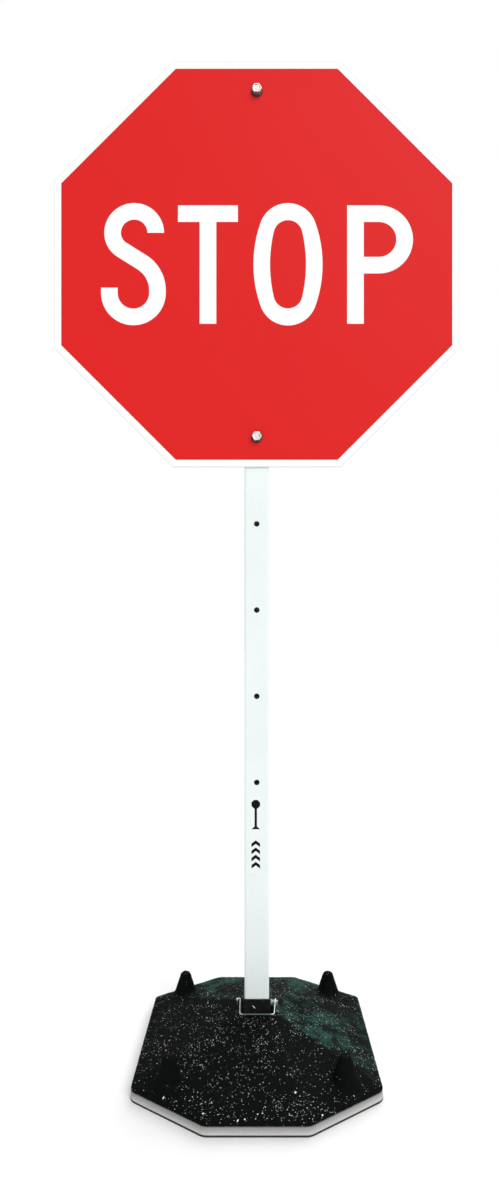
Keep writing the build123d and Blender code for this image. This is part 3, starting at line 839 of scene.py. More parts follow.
@dataclass(frozen=True)
class MillAluminium(Finish):
    """Sheet aluminium as it left the rolling mill."""

    colour: Colour = (0.62, 0.625, 0.63)
    water_mark: Colour = (0.50, 0.51, 0.52)
    scratched: Colour = (0.88, 0.88, 0.88)

    def paint(self, s: Shading) -> None:
        """Rolling lines along the sheet, water marks, and scratches.

        Args:
            s: the material's wiring.
        """
        lines = s.noise(s.scaled(s.place, (1.0, 1.0, 60.0)), 60 * MM, 5.0, 0.7)
        stain = s.noise(s.place, 0.11, 5.0, 0.62)
        marks = s.mask(scratches(), Length=55 * MM, Amount=0.25)
        colour = s.blend(s.span(lines, 0.3, 0.7), toned(self.colour, 0.82), self.colour)
        colour = s.blend(s.span(stain, 0.48, 0.7, 0.0, 0.35), colour, self.water_mark)
        s.set(
            Base_Color=s.blend(s.math("MULTIPLY", marks, 0.28), colour, self.scratched),
            Metallic=0.96,
            Roughness=s.math("MULTIPLY_ADD", stain, 0.22, s.span(lines, 0.3, 0.7, 0.24, 0.36)),
        )
        s.bump(s.math("SUBTRACT", lines, s.math("MULTIPLY", marks, 0.6)), 0.03 * MM, 0.5)


@dataclass(frozen=True)
class Sheeting(Finish):
    """Reflective sheeting with its seal lines, plain or under a coloured overlay film.

    The rim is the darker band at the cut edge of an octagon that is centred on X = 0 at
    centre_height, with its sides rim_distance away.
    """

    colour: Colour = (0.9, 0.9, 0.9)
    line: Colour = (0.8, 0.8, 0.8)
    cell: float = 3.6 * MM
    rough: float = 0.3
    rim: Colour = (0.76, 0.76, 0.76)
    rim_distance: float = 0.0
    centre_height: float = 0.0
    rim_width: float = 1.3 * MM
    gloss: float = 0.12

    def rim_mask(self, s: Shading) -> Socket:
        """Masks the narrow band inside the sheet's cut edge, on all eight sides.

        Args:
            s: the material's wiring.

        Returns:
            The mask.
        """
        x, _, z = s.split(s.place)
        across = s.math("ABSOLUTE", x)
        along = s.math("ABSOLUTE", s.math("SUBTRACT", z, self.centre_height))
        slanted = s.math("MULTIPLY", s.math("ADD", across, along), math.sqrt(0.5))
        reach = s.math("MAXIMUM", slanted, s.math("MAXIMUM", across, along))
        inner = self.rim_distance - self.rim_width
        return s.span(reach, inner, self.rim_distance - 0.5 * self.rim_width)

    def paint(self, s: Shading) -> None:
        """Seal lines, slow clouds in the colour, dust specks, and a smooth top layer.

        Args:
            s: the material's wiring.
        """
        pattern = s.group(prism_cells(), Vector=s.place, Cell=self.cell)
        lines = s.math("MULTIPLY", pattern.outputs["Lines"], 0.5)
        cloud = s.span(pattern.outputs["Cloud"], 0.3, 0.7)
        speck = s.noise(s.place, 2.2 * MM, 4.0, 0.7)
        colour = s.blend(cloud, toned(self.colour, 0.985), self.colour)
        colour = s.blend(lines, colour, self.line)
        dirt = s.span(speck, 0.70, 0.78, 0.0, 0.22)
        colour = s.blend(dirt, colour, toned(self.colour, 0.6))
        smooth = s.span(speck, 0.3, 0.8, self.rough, self.rough + 0.08)
        s.set(
            Base_Color=s.blend(self.rim_mask(s), colour, self.rim),
            Roughness=s.math("MULTIPLY_ADD", lines, 0.15, smooth),
            Specular_IOR_Level=self.gloss,
        )
        s.bump(s.math("SUBTRACT", 1.0, lines), 0.03 * MM, 0.35)


@dataclass(frozen=True)
class PrintedVinyl(Finish):
    """The sticker's white vinyl, or the ink on it."""

    colour: Colour = (0.86, 0.87, 0.86)
    edge: Colour = (0.45, 0.46, 0.45)
    rough: float = 0.34
    gloss: float = 0.3

    def paint(self, s: Shading) -> None:
        """A flat film with faint fibres, and grime along its edge.

        Args:
            s: the material's wiring.
        """
        grain = s.noise(s.scaled(s.place, (1.0, 1.0, 0.3)), 0.8 * MM, 4.0, 0.6)
        grime = s.mask(edge_wear(), Width=0.7 * MM, Breakup=4 * MM)
        colour = s.blend(s.span(grain, 0.3, 0.75, 0.0, 0.5), self.colour, toned(self.colour, 0.9))
        s.set(
            Base_Color=s.blend(s.math("MULTIPLY", grime, 0.8), colour, self.edge),
            Roughness=s.span(grain, 0.3, 0.7, self.rough, self.rough + 0.12),
            Specular_IOR_Level=self.gloss,
        )
        s.bump(grain, 0.02 * MM, 0.5)


@dataclass(frozen=True)
class StudioFloor(Finish):
    """The pale floor of the studio."""

    colour: Colour = (0.95, 0.95, 0.95)

    def paint(self, s: Shading) -> None:
        """Near-white paper with a barely visible mottle.

        Args:
            s: the material's wiring.
        """
        mottle = s.noise(s.place, 0.25, 3.0, 0.5)
        s.set(
            Base_Color=s.blend(mottle, toned(self.colour, 0.99), self.colour),
            Roughness=0.9,
            Specular_IOR_Level=0.1,
        )


class Finishes:
    """Every finish on the object, by what wears it."""

    RUBBER = CrumbRubber("crumb rubber")
    FLECK = FleckChip("fleck chip")
    SOLE = SoleRubber("sole rubber")
    # A real non-slip sheet whose dark edge also stands in for a painted contact shadow line.
    SHEET_AS_SHADOW_LINE = Moulded("rubber sheet", colour=(0.010, 0.010, 0.010), rough=0.72)
    SOCKET = Coat(
        "socket black coat", colour=(0.0055, 0.0062, 0.0062), worn=(0.36, 0.36, 0.36), rough=0.42,
        dusty=0.05, dust_reach=0.05, wear_width=0.55 * MM, gloss=0.12,
        nick=(-4.4 * MM, -21 * MM, 75 * MM), nick_angle=-45.0,
    )
    POST = Coat(
        "post white coat", colour=(0.80, 0.875, 0.865), worn=(0.42, 0.42, 0.41), rough=0.40,
        dusty=0.03, dust_reach=0.20, wear_width=0.35 * MM, gloss=0.2,
    )
    PLASTIC = Moulded("black plastic")
    NYLON = Moulded("nylon ring", colour=(0.03, 0.12, 0.42), rough=0.42)
    ZINC = ZincPlate("zinc plate", colour=(0.66, 0.655, 0.63))
    # The bolt heads get a painted shadow on their sides that face down and to the left.
    HEADS = ZincPlate("bolt zinc", shadow_lean=(-0.55, 0.0, -0.9))
    # The face washers are made dark to stand in for the shade round the bolt heads.
    SHADE_WASHERS = ZincPlate(
        "washer zinc dark as shade", colour=(0.16, 0.12, 0.10), shade=(0.04, 0.03, 0.025), rough=0.45
    )
    GALVANISED = Spangle("galvanised plate")
    WIRE = DrawnWire("spring wire")
    BLANK = MillAluminium("mill aluminium")
    WHITE = Sheeting("white sheeting", colour=(0.915, 0.915, 0.91), line=(0.85, 0.85, 0.85))
    FILM = Sheeting(
        "red overlay film", colour=(0.69, 0.0145, 0.0138), line=(0.65, 0.014, 0.013),
        rim=(0.50, 0.012, 0.014), rough=0.44,
    )
    # The pin is darker towards its tip, left of dark_from.
    PIN = ZincPlate(
        "pin zinc", colour=(0.42, 0.47, 0.45), shade=(0.05, 0.07, 0.065), rough=0.46, lump=0.8 * MM,
        dark_from=-15 * MM,
    )
    VINYL = PrintedVinyl("sticker vinyl", colour=(0.83, 0.885, 0.875), edge=(0.42, 0.44, 0.43))
    INK = PrintedVinyl(
        "sticker ink", colour=(0.005, 0.005, 0.005), edge=(0.02, 0.02, 0.02), rough=0.45, gloss=0.08
    )


# ---- Meshes ----


def add_object(name: str, data: bpy.types.ID) -> bpy.types.Object:
    """Adds an object at the origin for a mesh, a light or a camera.

    Args:
        name: the object's name.
        data: what it shows.

    Returns:
        The new object.
    """
    made = bpy.data.objects.new(name, data)
    bpy.context.scene.collection.objects.link(made)
    return made


def new_piece(name: str, bm: bmesh.types.BMesh, finish: Finish) -> bpy.types.Object:
    """Turns a bmesh into a flat-shaded object at the origin.

    Args:
        name: the piece's name.
        bm: the mesh, which is freed.
        finish: its finish.

    Returns:
        The new object.
    """
    bmesh.ops.recalc_face_normals(bm, faces=bm.faces)
    mesh = bpy.data.meshes.new(name)
    bm.to_mesh(mesh)
    bm.free()
    mesh.polygons.foreach_set("use_smooth", [False] * len(mesh.polygons))
    mesh.materials.append(finish.material())
    return add_object(name, mesh)


def baked(piece: bpy.types.Object, name: str) -> bpy.types.Object:
    """Replaces an object that has modifiers by a plain mesh of what it shows.

    Args:
        piece: the object with modifiers.
        name: the plain object's name.

    Returns:
        The plain object.
    """
    graph = bpy.context.evaluated_depsgraph_get()
    mesh = bpy.data.meshes.new_from_object(piece.evaluated_get(graph), depsgraph=graph)
    bpy.data.objects.remove(piece)
    mesh.name = name
    return add_object(name, mesh)


def grow(
    piece: bpy.types.Object, tree: bpy.types.NodeTree, name: str, **values: Any
) -> bpy.types.Object:
    """Runs a geometry tree on an object and returns the result as a plain mesh.

    Args:
        piece: the object that the tree starts from.
        tree: the geometry tree.
        name: the result's name.
        values: the tree's inputs by name, with underscores for spaces.

    Returns:
        The plain object.
    """
    modifier = piece.modifiers.new(tree.name, "NODES")
    modifier.node_group = tree
    for item in tree.interface.items_tree:
        label = item.name.replace(" ", "_")
        if item.in_out == "INPUT" and label in values:
            modifier[item.identifier] = values[label]
    return baked(piece, name)


def cad_copy(node: str) -> bpy.types.Object:
    """Copies a CAD node's mesh, with its loose triangles merged.

    Args:
        node: the node's name.

    Returns:
        The separate copy.
    """
    bm = bmesh.new()
    bm.from_mesh(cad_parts[node].data)
    bmesh.ops.remove_doubles(bm, verts=bm.verts, dist=0.002 * MM)
    mesh = bpy.data.meshes.new(node + " copy")
    bm.to_mesh(mesh)
    bm.free()
    return add_object(mesh.name, mesh)


def lathe(bm: bmesh.types.BMesh, rows: Sequence[Ring], turns: int, place: Matrix) -> None:
    """Adds a closed turned form whose radius and height may change round the axis.

    Args:
        bm: the mesh that gets it.
        rows: for each ring, a function from the angle to the radius and height.
        turns: how many points a ring has.
        place: where the form's own Z axis stands.
    """
    rings = []
    for row in rows:
        ring = []
        for step in range(turns):
            angle = 2 * math.pi * step / turns
            radius, height = row(angle)
            point = Vector((radius * math.cos(angle), radius * math.sin(angle), height))
            ring.append(bm.verts.new(place @ point))
        rings.append(ring)
    for lower, upper in zip(rings, rings[1:]):
        for step in range(turns):
            after = (step + 1) % turns
            bm.faces.new((lower[step], lower[after], upper[after], upper[step]))
    bm.faces.new(rings[0])
    bm.faces.new(rings[-1])


def facing(x: float, y: float, z: float) -> Matrix:
    """A placement whose own Z axis points to the front and whose own Y axis points up."""
    turn = Matrix(((1, 0, 0), (0, 0, -1), (0, 1, 0))).to_4x4()
    return Matrix.Translation((x, y, z)) @ turn


def dress(finish: Finish, *nodes: str) -> None:
    """Gives CAD nodes a finish.

    Args:
        finish: the finish.
        nodes: the nodes' names.
    """
    for node in nodes:
        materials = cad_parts[node].data.materials
        materials.clear()
        materials.append(finish.material())
        LOG.info("%s wears %s", node, finish.name)


def settle(piece: bpy.types.Object, body: str, slot: str, *nodes: str) -> None:
    """Fixes a piece to its body, and hides the CAD nodes that it stands for.

    Args:
        piece: the piece.
        body: the body that it rides on.
        slot: the record's material slot, which is not used.
        nodes: the CAD nodes that it stands for, which are hidden.
    """
    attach(piece, body)
    if nodes:
        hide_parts(*nodes)
    LOG.info("%s: %d faces on %s", piece.name, len(piece.data.polygons), body)


# ---- Sub-assemblies ----


@dataclass
class Sign:
    """The plate, its sheeting and its overlay film."""

    sheets: tuple[tuple[str, Sheeting], ...] = (
        ("white_sheeting", Finishes.WHITE),
        ("red_film", Finishes.FILM),
    )

    def build(self) -> None:
        """Dresses the three layers. Each sheet's darker cut edge follows its own outline."""
        dress(Finishes.BLANK, "sign_blank")
        for node, sheet in self.sheets:
            low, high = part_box(node)
            half, middle = (high.x - low.x) / 2, (low.z + high.z) / 2
            dress(replace(sheet, rim_distance=half, centre_height=middle), node)


@dataclass
class SignHardware:
    """The two bolts with real threads, and the washers and nuts on them."""

    pitch: float = 1.25 * MM
    thread_depth: float = 0.62 * MM
    shank_radius: float = 4.0 * MM
    across_flats: float = 13.0 * MM
    head_height: float = 5.3 * MM
    face_radius: float = 6.3 * MM
    dish_depth: float = 0.35 * MM
    threaded: float = 20.0 * MM
    chamfer: float = 30.0
    tip_taper: float = 0.7 * MM
    turns: int = 48
    rows_per_pitch: int = 5

    def hex_radius(self, angle: float) -> float:
        """The distance from the axis to the head's side at an angle; a corner points up."""
        local = (angle % math.radians(60)) - math.radians(30)
        return self.across_flats / 2 / math.cos(local)

    def head_rows(self) -> list[Ring]:
        """The rings of the head, from its bearing face to the shallow dish in its top.

        Returns:
            The rings, in order.
        """
        height, face = self.head_height, self.face_radius
        bearing = self.across_flats / 2 * 0.96
        slope = math.tan(math.radians(self.chamfer))

        def corner(angle: float) -> tuple[float, float]:
            """The side's upper end, where the chamfer's cone cuts it."""
            radius = self.hex_radius(angle)
            return radius, height - (radius - face) * slope

        return [
            lambda angle: (bearing, 0.0),
            lambda angle: (bearing, 0.25 * MM),
            lambda angle: (self.hex_radius(angle) * 0.992, 0.3 * MM),
            lambda angle: (self.hex_radius(angle), 0.45 * MM),
            corner,
            lambda angle: (face, height),
            lambda angle: (face * 0.82, height),
            lambda angle: (face * 0.66, height - self.dish_depth),
            lambda angle: (face * 0.05, height - self.dish_depth),
        ]

    def shank_rows(self, length: float) -> list[Ring]:
        """The rings of the shank, which hangs below the head, with its thread as a true helix.

        Args:
            length: the shank's length.

        Returns:
            The rings, in order.
        """

        def ridge(z: float) -> Ring:
            """Makes a ring of the thread.

            Args:
                z: the ring's height.

            Returns:
                The ring.
            """

            def at(angle: float) -> tuple[float, float]:
                """Finds the radius between root and crest, tapered at the tip.

                Args:
                    angle: where on the ring.

                Returns:
                    The radius and the height.
                """
                turn = (z / self.pitch + angle / (2 * math.pi)) % 1.0
                crest = 1.0 - abs(2.0 * turn - 1.0)
                taper = min(1.0, (z + length) / (1.1 * self.pitch))
                radius = self.shank_radius - self.thread_depth * (1.0 - crest)
                return radius - (1.0 - taper) * self.tip_taper, z

            return at

        smooth_end = -(length - self.threaded)
        rows: list[Ring] = [
            lambda angle: (self.shank_radius, 0.1 * MM),
            lambda angle: (self.shank_radius, smooth_end),
        ]
        count = round(self.threaded / self.pitch * self.rows_per_pitch)
        for step in range(1, count + 1):
            rows.append(ridge(smooth_end - self.threaded * step / count))
        rows.append(lambda angle: (self.shank_radius * 0.2, -length))
        return rows

    def build(self) -> None:
        """Builds both bolts at the places that the washers give, and dresses the rest."""
        low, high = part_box("sign_bolts")
        corner = self.across_flats / math.sqrt(3)
        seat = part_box("face_washers")[0].y
        bm = bmesh.new()
        for height in (low.z + corner, high.z - corner):
            place = facing((low.x + high.x) / 2, seat, height)
            lathe(bm, self.head_rows(), self.turns, place)
            lathe(bm, self.shank_rows(high.y - seat), self.turns, place)
        bolts = new_piece("threaded_bolts", bm, Finishes.HEADS)
        settle(bolts, "root", "zinc_hardware", "sign_bolts")
        # The dark face washers stand in for the shade round the bolt heads.
        dress(Finishes.SHADE_WASHERS, "face_washers")
        dress(Finishes.ZINC, "back_washers", "lock_nuts")
        dress(Finishes.PLASTIC, "film_washers")
        dress(Finishes.NYLON, "nut_inserts")


@dataclass
class Sticker:
    """The sticker that shows which way the post faces: arrows and a small sign, no lettering."""

    lift: float = 0.7 * MM
    peel_reach: float = 11 * MM
    corner: float = 1.8 * MM
    columns: int = 16
    rows: int = 96
    film: float = 0.2 * MM
    ink: float = 0.03 * MM
    print_width: float = 13.0 * MM
    print_shift: float = 0.5 * MM
    print_height: float = 103.5 * MM
    chevron_rise: float = 4.8 * MM
    chevron_stroke: float = 5.4 * MM
    chevron_pitch: float = 10.8 * MM
    chevron_count: int = 4
    plinth_height: float = 4.2 * MM
    stem_width: float = 3.6 * MM
    stem_height: float = 27.0 * MM

    def sheet(self) -> bpy.types.Object:
        """The vinyl, with rounded corners, whose lower left corner has begun to peel.

        Returns:
            The vinyl.
        """
        low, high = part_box("orientation_label")
        columns, rows, corner = self.columns, self.rows, self.corner
        width, height = high.x - low.x, high.z - low.z
        bm = bmesh.new()
        grid = {}
        for layer, offset in enumerate((0.0, -self.film)):
            for row in range(rows + 1):
                z = height * row / rows
                inset = 0.0
                near = min(z, height - z)
                if near < corner:
                    inset = corner - math.sqrt(corner**2 - (corner - near) ** 2)
                for column in range(columns + 1):
                    x = inset + (width - 2 * inset) * column / columns
                    peel = max(0.0, 1.0 - (x + z) / self.peel_reach) ** 2 * self.lift
                    point = (low.x + x, high.y + offset - peel, low.z + z)
                    grid[layer, row, column] = bm.verts.new(point)
        for layer in (0, 1):
            for r in range(rows):
                for c in range(columns):
                    around = ((r, c), (r, c + 1), (r + 1, c + 1), (r + 1, c))
                    bm.faces.new([grid[(layer, *spot)] for spot in around])
        rim = [(0, c) for c in range(columns)] + [(r, columns) for r in range(rows)]
        rim += [(rows, c) for c in range(columns, 0, -1)] + [(r, 0) for r in range(rows, 0, -1)]
        for (r0, c0), (r1, c1) in zip(rim, rim[1:] + rim[:1]):
            bm.faces.new((grid[0, r0, c0], grid[0, r1, c1], grid[1, r1, c1], grid[1, r0, c0]))
        return new_piece("facing_sticker", bm, Finishes.VINYL)

    def slab(
        self, bm: bmesh.types.BMesh, outline: Sequence[tuple[float, float]], y: float
    ) -> None:
        """Adds a thin slab of ink.

        Args:
            bm: the mesh that gets it.
            outline: its corners' X and Z. The outline may bend inwards.
            y: the middle of its thickness.
        """
        front = [bm.verts.new((x, y - self.ink, z)) for x, z in outline]
        rear = [bm.verts.new((x, y + self.ink, z)) for x, z in outline]
        count = len(outline)
        for step in range(count):
            after = (step + 1) % count
            bm.faces.new((front[step], front[after], rear[after], rear[step]))
        caps = [bm.faces.new(front), bm.faces.new(rear)]
        bmesh.ops.triangulate(bm, faces=caps)

    def chevron_tree(self) -> bpy.types.NodeTree:
        """A tree that repeats one chevron up the sticker.

        Returns:
            The tree.
        """
        wiring, given, end = surface_tree("chevron row", Count=Pattern.WHOLE, Pitch=Pattern.VALUE)
        inputs = {"Count": given["Count"], "Offset": wiring.joined(z=given["Pitch"])}
        line = wiring.node("GeometryNodeMeshLine", inputs, mode="OFFSET").outputs[0]
        points = wiring.node("GeometryNodeMeshToPoints", {"Mesh": line}).outputs[0]
        inputs = {"Points": points, "Instance": given["Geometry"]}
        copies = wiring.node("GeometryNodeInstanceOnPoints", inputs).outputs[0]
        real = wiring.node("GeometryNodeRealizeInstances", {0: copies}).outputs[0]
        end_with_finish(wiring, real, given, end)
        return wiring.tree

    def print_marks(self) -> None:
        """Prints the arrows, and above them an octagon on a post with a foot."""
        low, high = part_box("orientation_label")
        middle = (low.x + high.x) / 2 + self.print_shift
        y = low.y - self.ink / 2
        half, rise, stroke = self.print_width / 2, self.chevron_rise, self.chevron_stroke
        start = (low.z + high.z - self.print_height) / 2
        lower = [(middle - half, start), (middle, start + rise), (middle + half, start)]
        arrow = lower + [(x, z + stroke) for x, z in reversed(lower)]
        bm = bmesh.new()
        self.slab(bm, arrow, y)
        seed = new_piece("chevron seed", bm, Finishes.INK)
        marks = grow(
            seed, self.chevron_tree(), "sticker_chevrons", Count=self.chevron_count,
            Pitch=self.chevron_pitch, Finish=Finishes.INK.material(),
        )
        settle(marks, "root", "label_print")
        top = start + self.print_height
        centre = top - half
        stem = self.stem_width / 2
        foot = centre - half - self.stem_height
        reach = half / math.cos(math.radians(22.5))
        angles = [math.radians(22.5 + 45 * step) for step in range(8)]
        octagon = [(middle + reach * math.cos(a), centre + reach * math.sin(a)) for a in angles]
        bm = bmesh.new()
        self.slab(bm, octagon, y)
        for below, above, wide in (
            (foot, centre - half, stem),
            (foot - self.plinth_height, foot, half),
        ):
            corners = [(middle - wide, below), (middle + wide, below)]
            self.slab(bm, corners + [(middle + stem, above), (middle - stem, above)], y)
        settle(new_piece("sticker_symbol", bm, Finishes.INK), "root", "label_print")

    def build(self) -> None:
        """Builds the vinyl and its print."""
        settle(self.sheet(), "root", "label_print", "orientation_label")
        self.print_marks()


@dataclass
class Post:
    """The square post, its end caps and its sticker."""

    def build(self) -> None:
        """Dresses the tube and its inserts, and adds the sticker."""
        dress(Finishes.POST, "post_tube")
        dress(Finishes.PLASTIC, "post_cap", "foot_plug")
        Sticker().build()


class Draw(Enum):
    """The seeds of what differs from chip to chip."""

    SIZE = 3
    STRETCH = 4
    TWIST = 5
    TONE = 6


@dataclass
class Base:
    """The crumb-rubber block on its sole, with the anchor under it."""

    voxel: float = 1.9 * MM
    smoothing: int = 3
    crumb: float = 3.2 * MM
    crumb_height: float = 0.45 * MM
    chip_dent: float = 1.6 * MM
    chip_clump: float = 0.03
    seed: int = 7

    def crumb_tree(self) -> bpy.types.NodeTree:
        """Makes the tree that pushes a surface in and out as pressed crumbs do.

        Returns:
            The tree.
        """
        wiring, given, end = surface_tree(
            "pressed crumbs", Crumb=Pattern.VALUE, Height=Pattern.VALUE
        )
        place = wiring.node("GeometryNodeInputPosition").outputs[0]
        normal = wiring.node("GeometryNodeInputNormal").outputs[0]
        cell = wiring.cells(place, given["Crumb"])
        wide = wiring.noise(place, wiring.math("MULTIPLY", given["Crumb"], 9.0), 3.0, 0.5)
        lot = wiring.split(cell.outputs["Color"])[0]
        lump = wiring.math("MULTIPLY_ADD", cell.outputs["Distance"], -1.1, lot)
        level = wiring.math("MULTIPLY_ADD", wide, 1.2, wiring.math("SUBTRACT", lump, 0.75))
        offset = wiring.times(normal, wiring.math("MULTIPLY", level, given["Height"]))
        inputs = {"Geometry": given["Geometry"], "Offset": offset}
        moved = wiring.node("GeometryNodeSetPosition", inputs).outputs[0]
        soft = wiring.node("GeometryNodeSetShadeSmooth", {"Geometry": moved}).outputs[0]
        end_with_finish(wiring, soft, given, end)
        return wiring.tree

    def block(self) -> bpy.types.Object:
        """Makes the block, with ridges as round as a mould leaves them and crumbs that stand proud.

        Returns:
            The block.
        """
        piece = cad_copy("rubber_base")
        remesh = piece.modifiers.new("even faces", "REMESH")
        remesh.mode = "VOXEL"
        remesh.voxel_size = self.voxel
        soften = piece.modifiers.new("rounded ridges", "SMOOTH")
        soften.factor = 0.5
        soften.iterations = self.smoothing
        return grow(
            piece, self.crumb_tree(), "crumb_block", Crumb=self.crumb, Height=self.crumb_height,
            Finish=Finishes.RUBBER.material(),
        )

    def chip_share(self, wiring: Wiring, given: dict[str, Socket], place: Socket) -> Socket:
        """Says how thick the chips lie: in clumps, towards the front, and on the upper side.

        Args:
            wiring: the wiring on the chips' tree.
            given: the tree's inputs.
            place: where on the surface.

        Returns:
            The share of the greatest density.
        """
        up = wiring.split(wiring.node("GeometryNodeInputNormal").outputs[0])[2]
        clumps = wiring.span(wiring.noise(place, self.chip_clump, 4.0, 0.6), 0.38, 0.66, 0.1, 1.0)
        full = wiring.math("SUBTRACT", given["Front"], given["Fade"])
        forward = wiring.span(wiring.split(place)[1], given["Front"], full)
        share = wiring.math("MULTIPLY", clumps, forward)
        return wiring.math("MULTIPLY", share, wiring.span(up, 0.78, 0.9))

    def chip_copies(
        self, wiring: Wiring, given: dict[str, Socket], spread: bpy.types.Node
    ) -> Socket:
        """Puts a chip on each point, each with a size, stretch, twist and tone of its own.

        Args:
            wiring: the wiring on the chips' tree.
            given: the tree's inputs.
            spread: the node that gives the points.

        Returns:
            The chips, as real meshes.
        """
        ball = {"Segments": 5, "Rings": 2, "Radius": 1.0}
        chip = wiring.node("GeometryNodeMeshUVSphere", ball).outputs[0]
        few_large = wiring.math("POWER", self.random(wiring, 0.0, 1.0, Draw.SIZE), 3.0)
        extra = wiring.math("SUBTRACT", given["Largest"], given["Smallest"])
        size = wiring.math("MULTIPLY_ADD", few_large, extra, given["Smallest"])
        stretch = wiring.joined(self.random(wiring, 0.7, 1.6, Draw.STRETCH), 0.75, 0.5)
        twist = wiring.joined(z=self.random(wiring, 0.0, 2 * math.pi, Draw.TWIST))
        inputs = {
            "Rotation": spread.outputs["Rotation"],
            "Rotate By": wiring.node("FunctionNodeEulerToRotation", {0: twist}).outputs[0],
        }
        laid = wiring.node("FunctionNodeRotateRotation", inputs, rotation_space="LOCAL").outputs[0]
        inputs = {
            "Points": spread.outputs["Points"],
            "Instance": chip,
            "Rotation": laid,
            "Scale": wiring.times(stretch, size),
        }
        copies = wiring.node("GeometryNodeInstanceOnPoints", inputs).outputs[0]
        tone = self.random(wiring, 0.0, 1.0, Draw.TONE)
        inputs = {"Geometry": copies, "Name": "tone", "Value": tone}
        settings = {"data_type": "FLOAT", "domain": "INSTANCE"}
        named = wiring.node("GeometryNodeStoreNamedAttribute", inputs, **settings).outputs[0]
        return wiring.node("GeometryNodeRealizeInstances", {0: named}).outputs[0]

    def chip_tree(self) -> bpy.types.NodeTree:
        """Makes the tree that scatters flat chips over a surface and keeps nothing else.

        Returns:
            The tree.
        """
        sizes = ("Spacing", "Density", "Smallest", "Largest", "Front", "Fade")
        wiring, given, end = surface_tree(
            "scattered chips", **{name: Pattern.VALUE for name in sizes}, Seed=Pattern.WHOLE
        )
        place = wiring.node("GeometryNodeInputPosition").outputs[0]
        inputs = {
            "Mesh": given["Geometry"],
            "Distance Min": given["Spacing"],
            "Density Max": given["Density"],
            "Density Factor": self.chip_share(wiring, given, place),
            "Seed": given["Seed"],
        }
        spread = wiring.node(
            "GeometryNodeDistributePointsOnFaces", inputs, distribute_method="POISSON"
        )
        real = self.chip_copies(wiring, given, spread)
        inputs = {"Vector": place, "Scale": 800.0, "Detail": 1.0}
        rough = wiring.node("ShaderNodeTexNoise", inputs).outputs["Color"]
        centred = wiring.vector_math("SUBTRACT", rough, (0.5, 0.5, 0.5))
        inputs = {"Geometry": real, "Offset": wiring.scaled(centred, (self.chip_dent,) * 3)}
        broken = wiring.node("GeometryNodeSetPosition", inputs).outputs[0]
        end_with_finish(wiring, broken, given, end)
        return wiring.tree

    def random(self, wiring: Wiring, low: float, high: float, draw: Draw) -> Socket:
        """Draws a random value for each point or chip, from a fixed seed.

        Args:
            wiring: the wiring on the chips' tree.
            low: the lowest value.
            high: the highest value.
            draw: what the value is for.

        Returns:
            The value.
        """
        inputs = {RANDOM_LOW: low, RANDOM_HIGH: high, RANDOM_SEED: draw.value}
        made = wiring.node("FunctionNodeRandomValue", inputs, data_type="FLOAT")
        return made.outputs[RANDOM_VALUE]

    def chips(self, block: bpy.types.Object) -> None:
        """Scatters fine chips all over the block, and larger ones near its front edge.

        Args:
            block: the finished block, which stays as it is.
        """
        low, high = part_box("rubber_base")
        tree = self.chip_tree()
        for name, spacing, density, smallest, largest, front, fade in (
            ("fine_chips", 2.2 * MM, 115000.0, 0.2 * MM, 0.8 * MM, high.y + 0.08, 0.25),
            ("front_chips", 6.0 * MM, 11000.0, 0.5 * MM, 2.4 * MM, low.y + 0.06, 0.05),
        ):
            made = grow(
                add_object("chip host", block.data.copy()), tree, name,
                Spacing=spacing, Density=density, Smallest=smallest, Largest=largest,
                Front=front, Fade=fade, Seed=self.seed, Finish=Finishes.FLECK.material(),
            )
            settle(made, "root", "rubber_crumb")

    def build(self) -> None:
        """Builds the block and its chips, and dresses the sole, the sheet and the anchor."""
        block = self.block()
        self.chips(block)
        settle(block, "root", "rubber_crumb", "rubber_base")
        dress(Finishes.SOLE, "edge_sole")
        # The sheet's dark edge also stands in for a painted contact shadow line.
        dress(Finishes.SHEET_AS_SHADOW_LINE, "non_slip_sheet")
        dress(Finishes.GALVANISED, "anchor_plate")
        dress(Finishes.ZINC, "anchor_screws", "anchor_washers")


@dataclass
class Socketry:
    """The steel socket, the lock pin and its wire bail."""

    def build(self) -> None:
        """Dresses the three pieces."""
        dress(Finishes.SOCKET, "socket_tube")
        dress(Finishes.PIN, "lock_pin")
        dress(Finishes.WIRE, "wire_bail")


# ---- Studio ----


@dataclass
class Lamp:
    """One soft light, which shines everywhere along the line from its place to the origin."""

    name: str
    place: Point
    power: float
    softness: float

    def build(self) -> None:
        """Hangs the lamp and points it at the origin."""
        data = bpy.data.lights.new(self.name, "SUN")
        data.angle = math.radians(self.softness)
        data.energy = self.power
        made = add_object(self.name, data)
        made.location = self.place
        made.rotation_mode = "QUATERNION"
        made.rotation_quaternion = (-Vector(self.place)).to_track_quat("-Z", "Y")


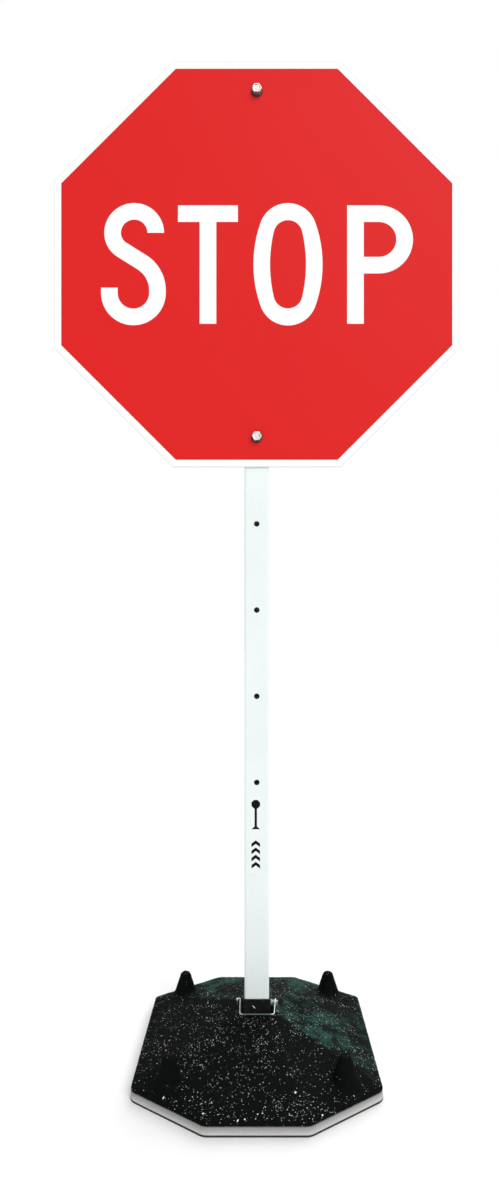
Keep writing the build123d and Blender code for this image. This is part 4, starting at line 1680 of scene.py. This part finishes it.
@dataclass
class Studio:
    """The floor, the lights, the background and the camera."""

    floor_size: float = 60.0
    lens: float = 21.0
    sensor: float = 36.0
    eye: Point = (0.0, -1.0738, 0.6314)
    shift: tuple[float, float] = (-0.00605, 0.0308)
    ambient: float = 0.56
    backdrop: float = 1.0

    def floor(self) -> None:
        """Lays the pale floor."""
        half = self.floor_size / 2
        corners = ((-half, -half), (half, -half), (half, half), (-half, half))
        bm = bmesh.new()
        bm.faces.new([bm.verts.new((x, y, 0.0)) for x, y in corners])
        new_piece("studio_floor", bm, StudioFloor("studio floor"))

    def world(self) -> None:
        """A white background, which lights the scene less than it shows."""
        world = bpy.data.worlds.new("studio")
        world.use_nodes = True
        bpy.context.scene.world = world
        wiring = Wiring(world.node_tree)
        world.node_tree.nodes.clear()
        seen = wiring.node("ShaderNodeLightPath").outputs["Is Camera Ray"]
        strength = wiring.span(seen, 0.0, 1.0, self.ambient, self.backdrop)
        inputs = {"Color": (1.0, 1.0, 1.0), "Strength": strength}
        shown = wiring.node("ShaderNodeBackground", inputs)
        wiring.node("ShaderNodeOutputWorld", {0: shown.outputs[0]})

    def lights(self) -> None:
        """A key from the upper right in front, and a softer light from the upper right behind."""
        Lamp("key", (0.40, -0.75, 0.66), 1.43, 40.0).build()
        Lamp("back light", (0.35, 0.75, 0.70), 1.45, 60.0).build()

    def camera(self) -> None:
        """A level camera in front of the post, a little below its middle, with a small shift."""
        data = bpy.data.cameras.new("camera")
        data.sensor_fit = "AUTO"
        data.sensor_width = self.sensor
        data.lens = self.lens
        data.shift_x, data.shift_y = self.shift
        made = add_object("camera", data)
        made.location = self.eye
        made.rotation_euler = (math.radians(90), 0.0, 0.0)
        bpy.context.scene.camera = made

    def build(self) -> None:
        """Sets up the whole studio."""
        bpy.context.scene.view_settings.view_transform = "Standard"
        self.floor()
        self.world()
        self.lights()
        self.camera()


def main() -> None:
    """Builds every sub-assembly, and the studio round them."""
    logging.basicConfig(level=logging.INFO, format="%(name)s: %(message)s")
    for assembly in (Studio(), Sign(), SignHardware(), Post(), Base(), Socketry()):
        LOG.info("building %s", type(assembly).__name__)
        assembly.build()


if __name__ == "__main__":
    main()
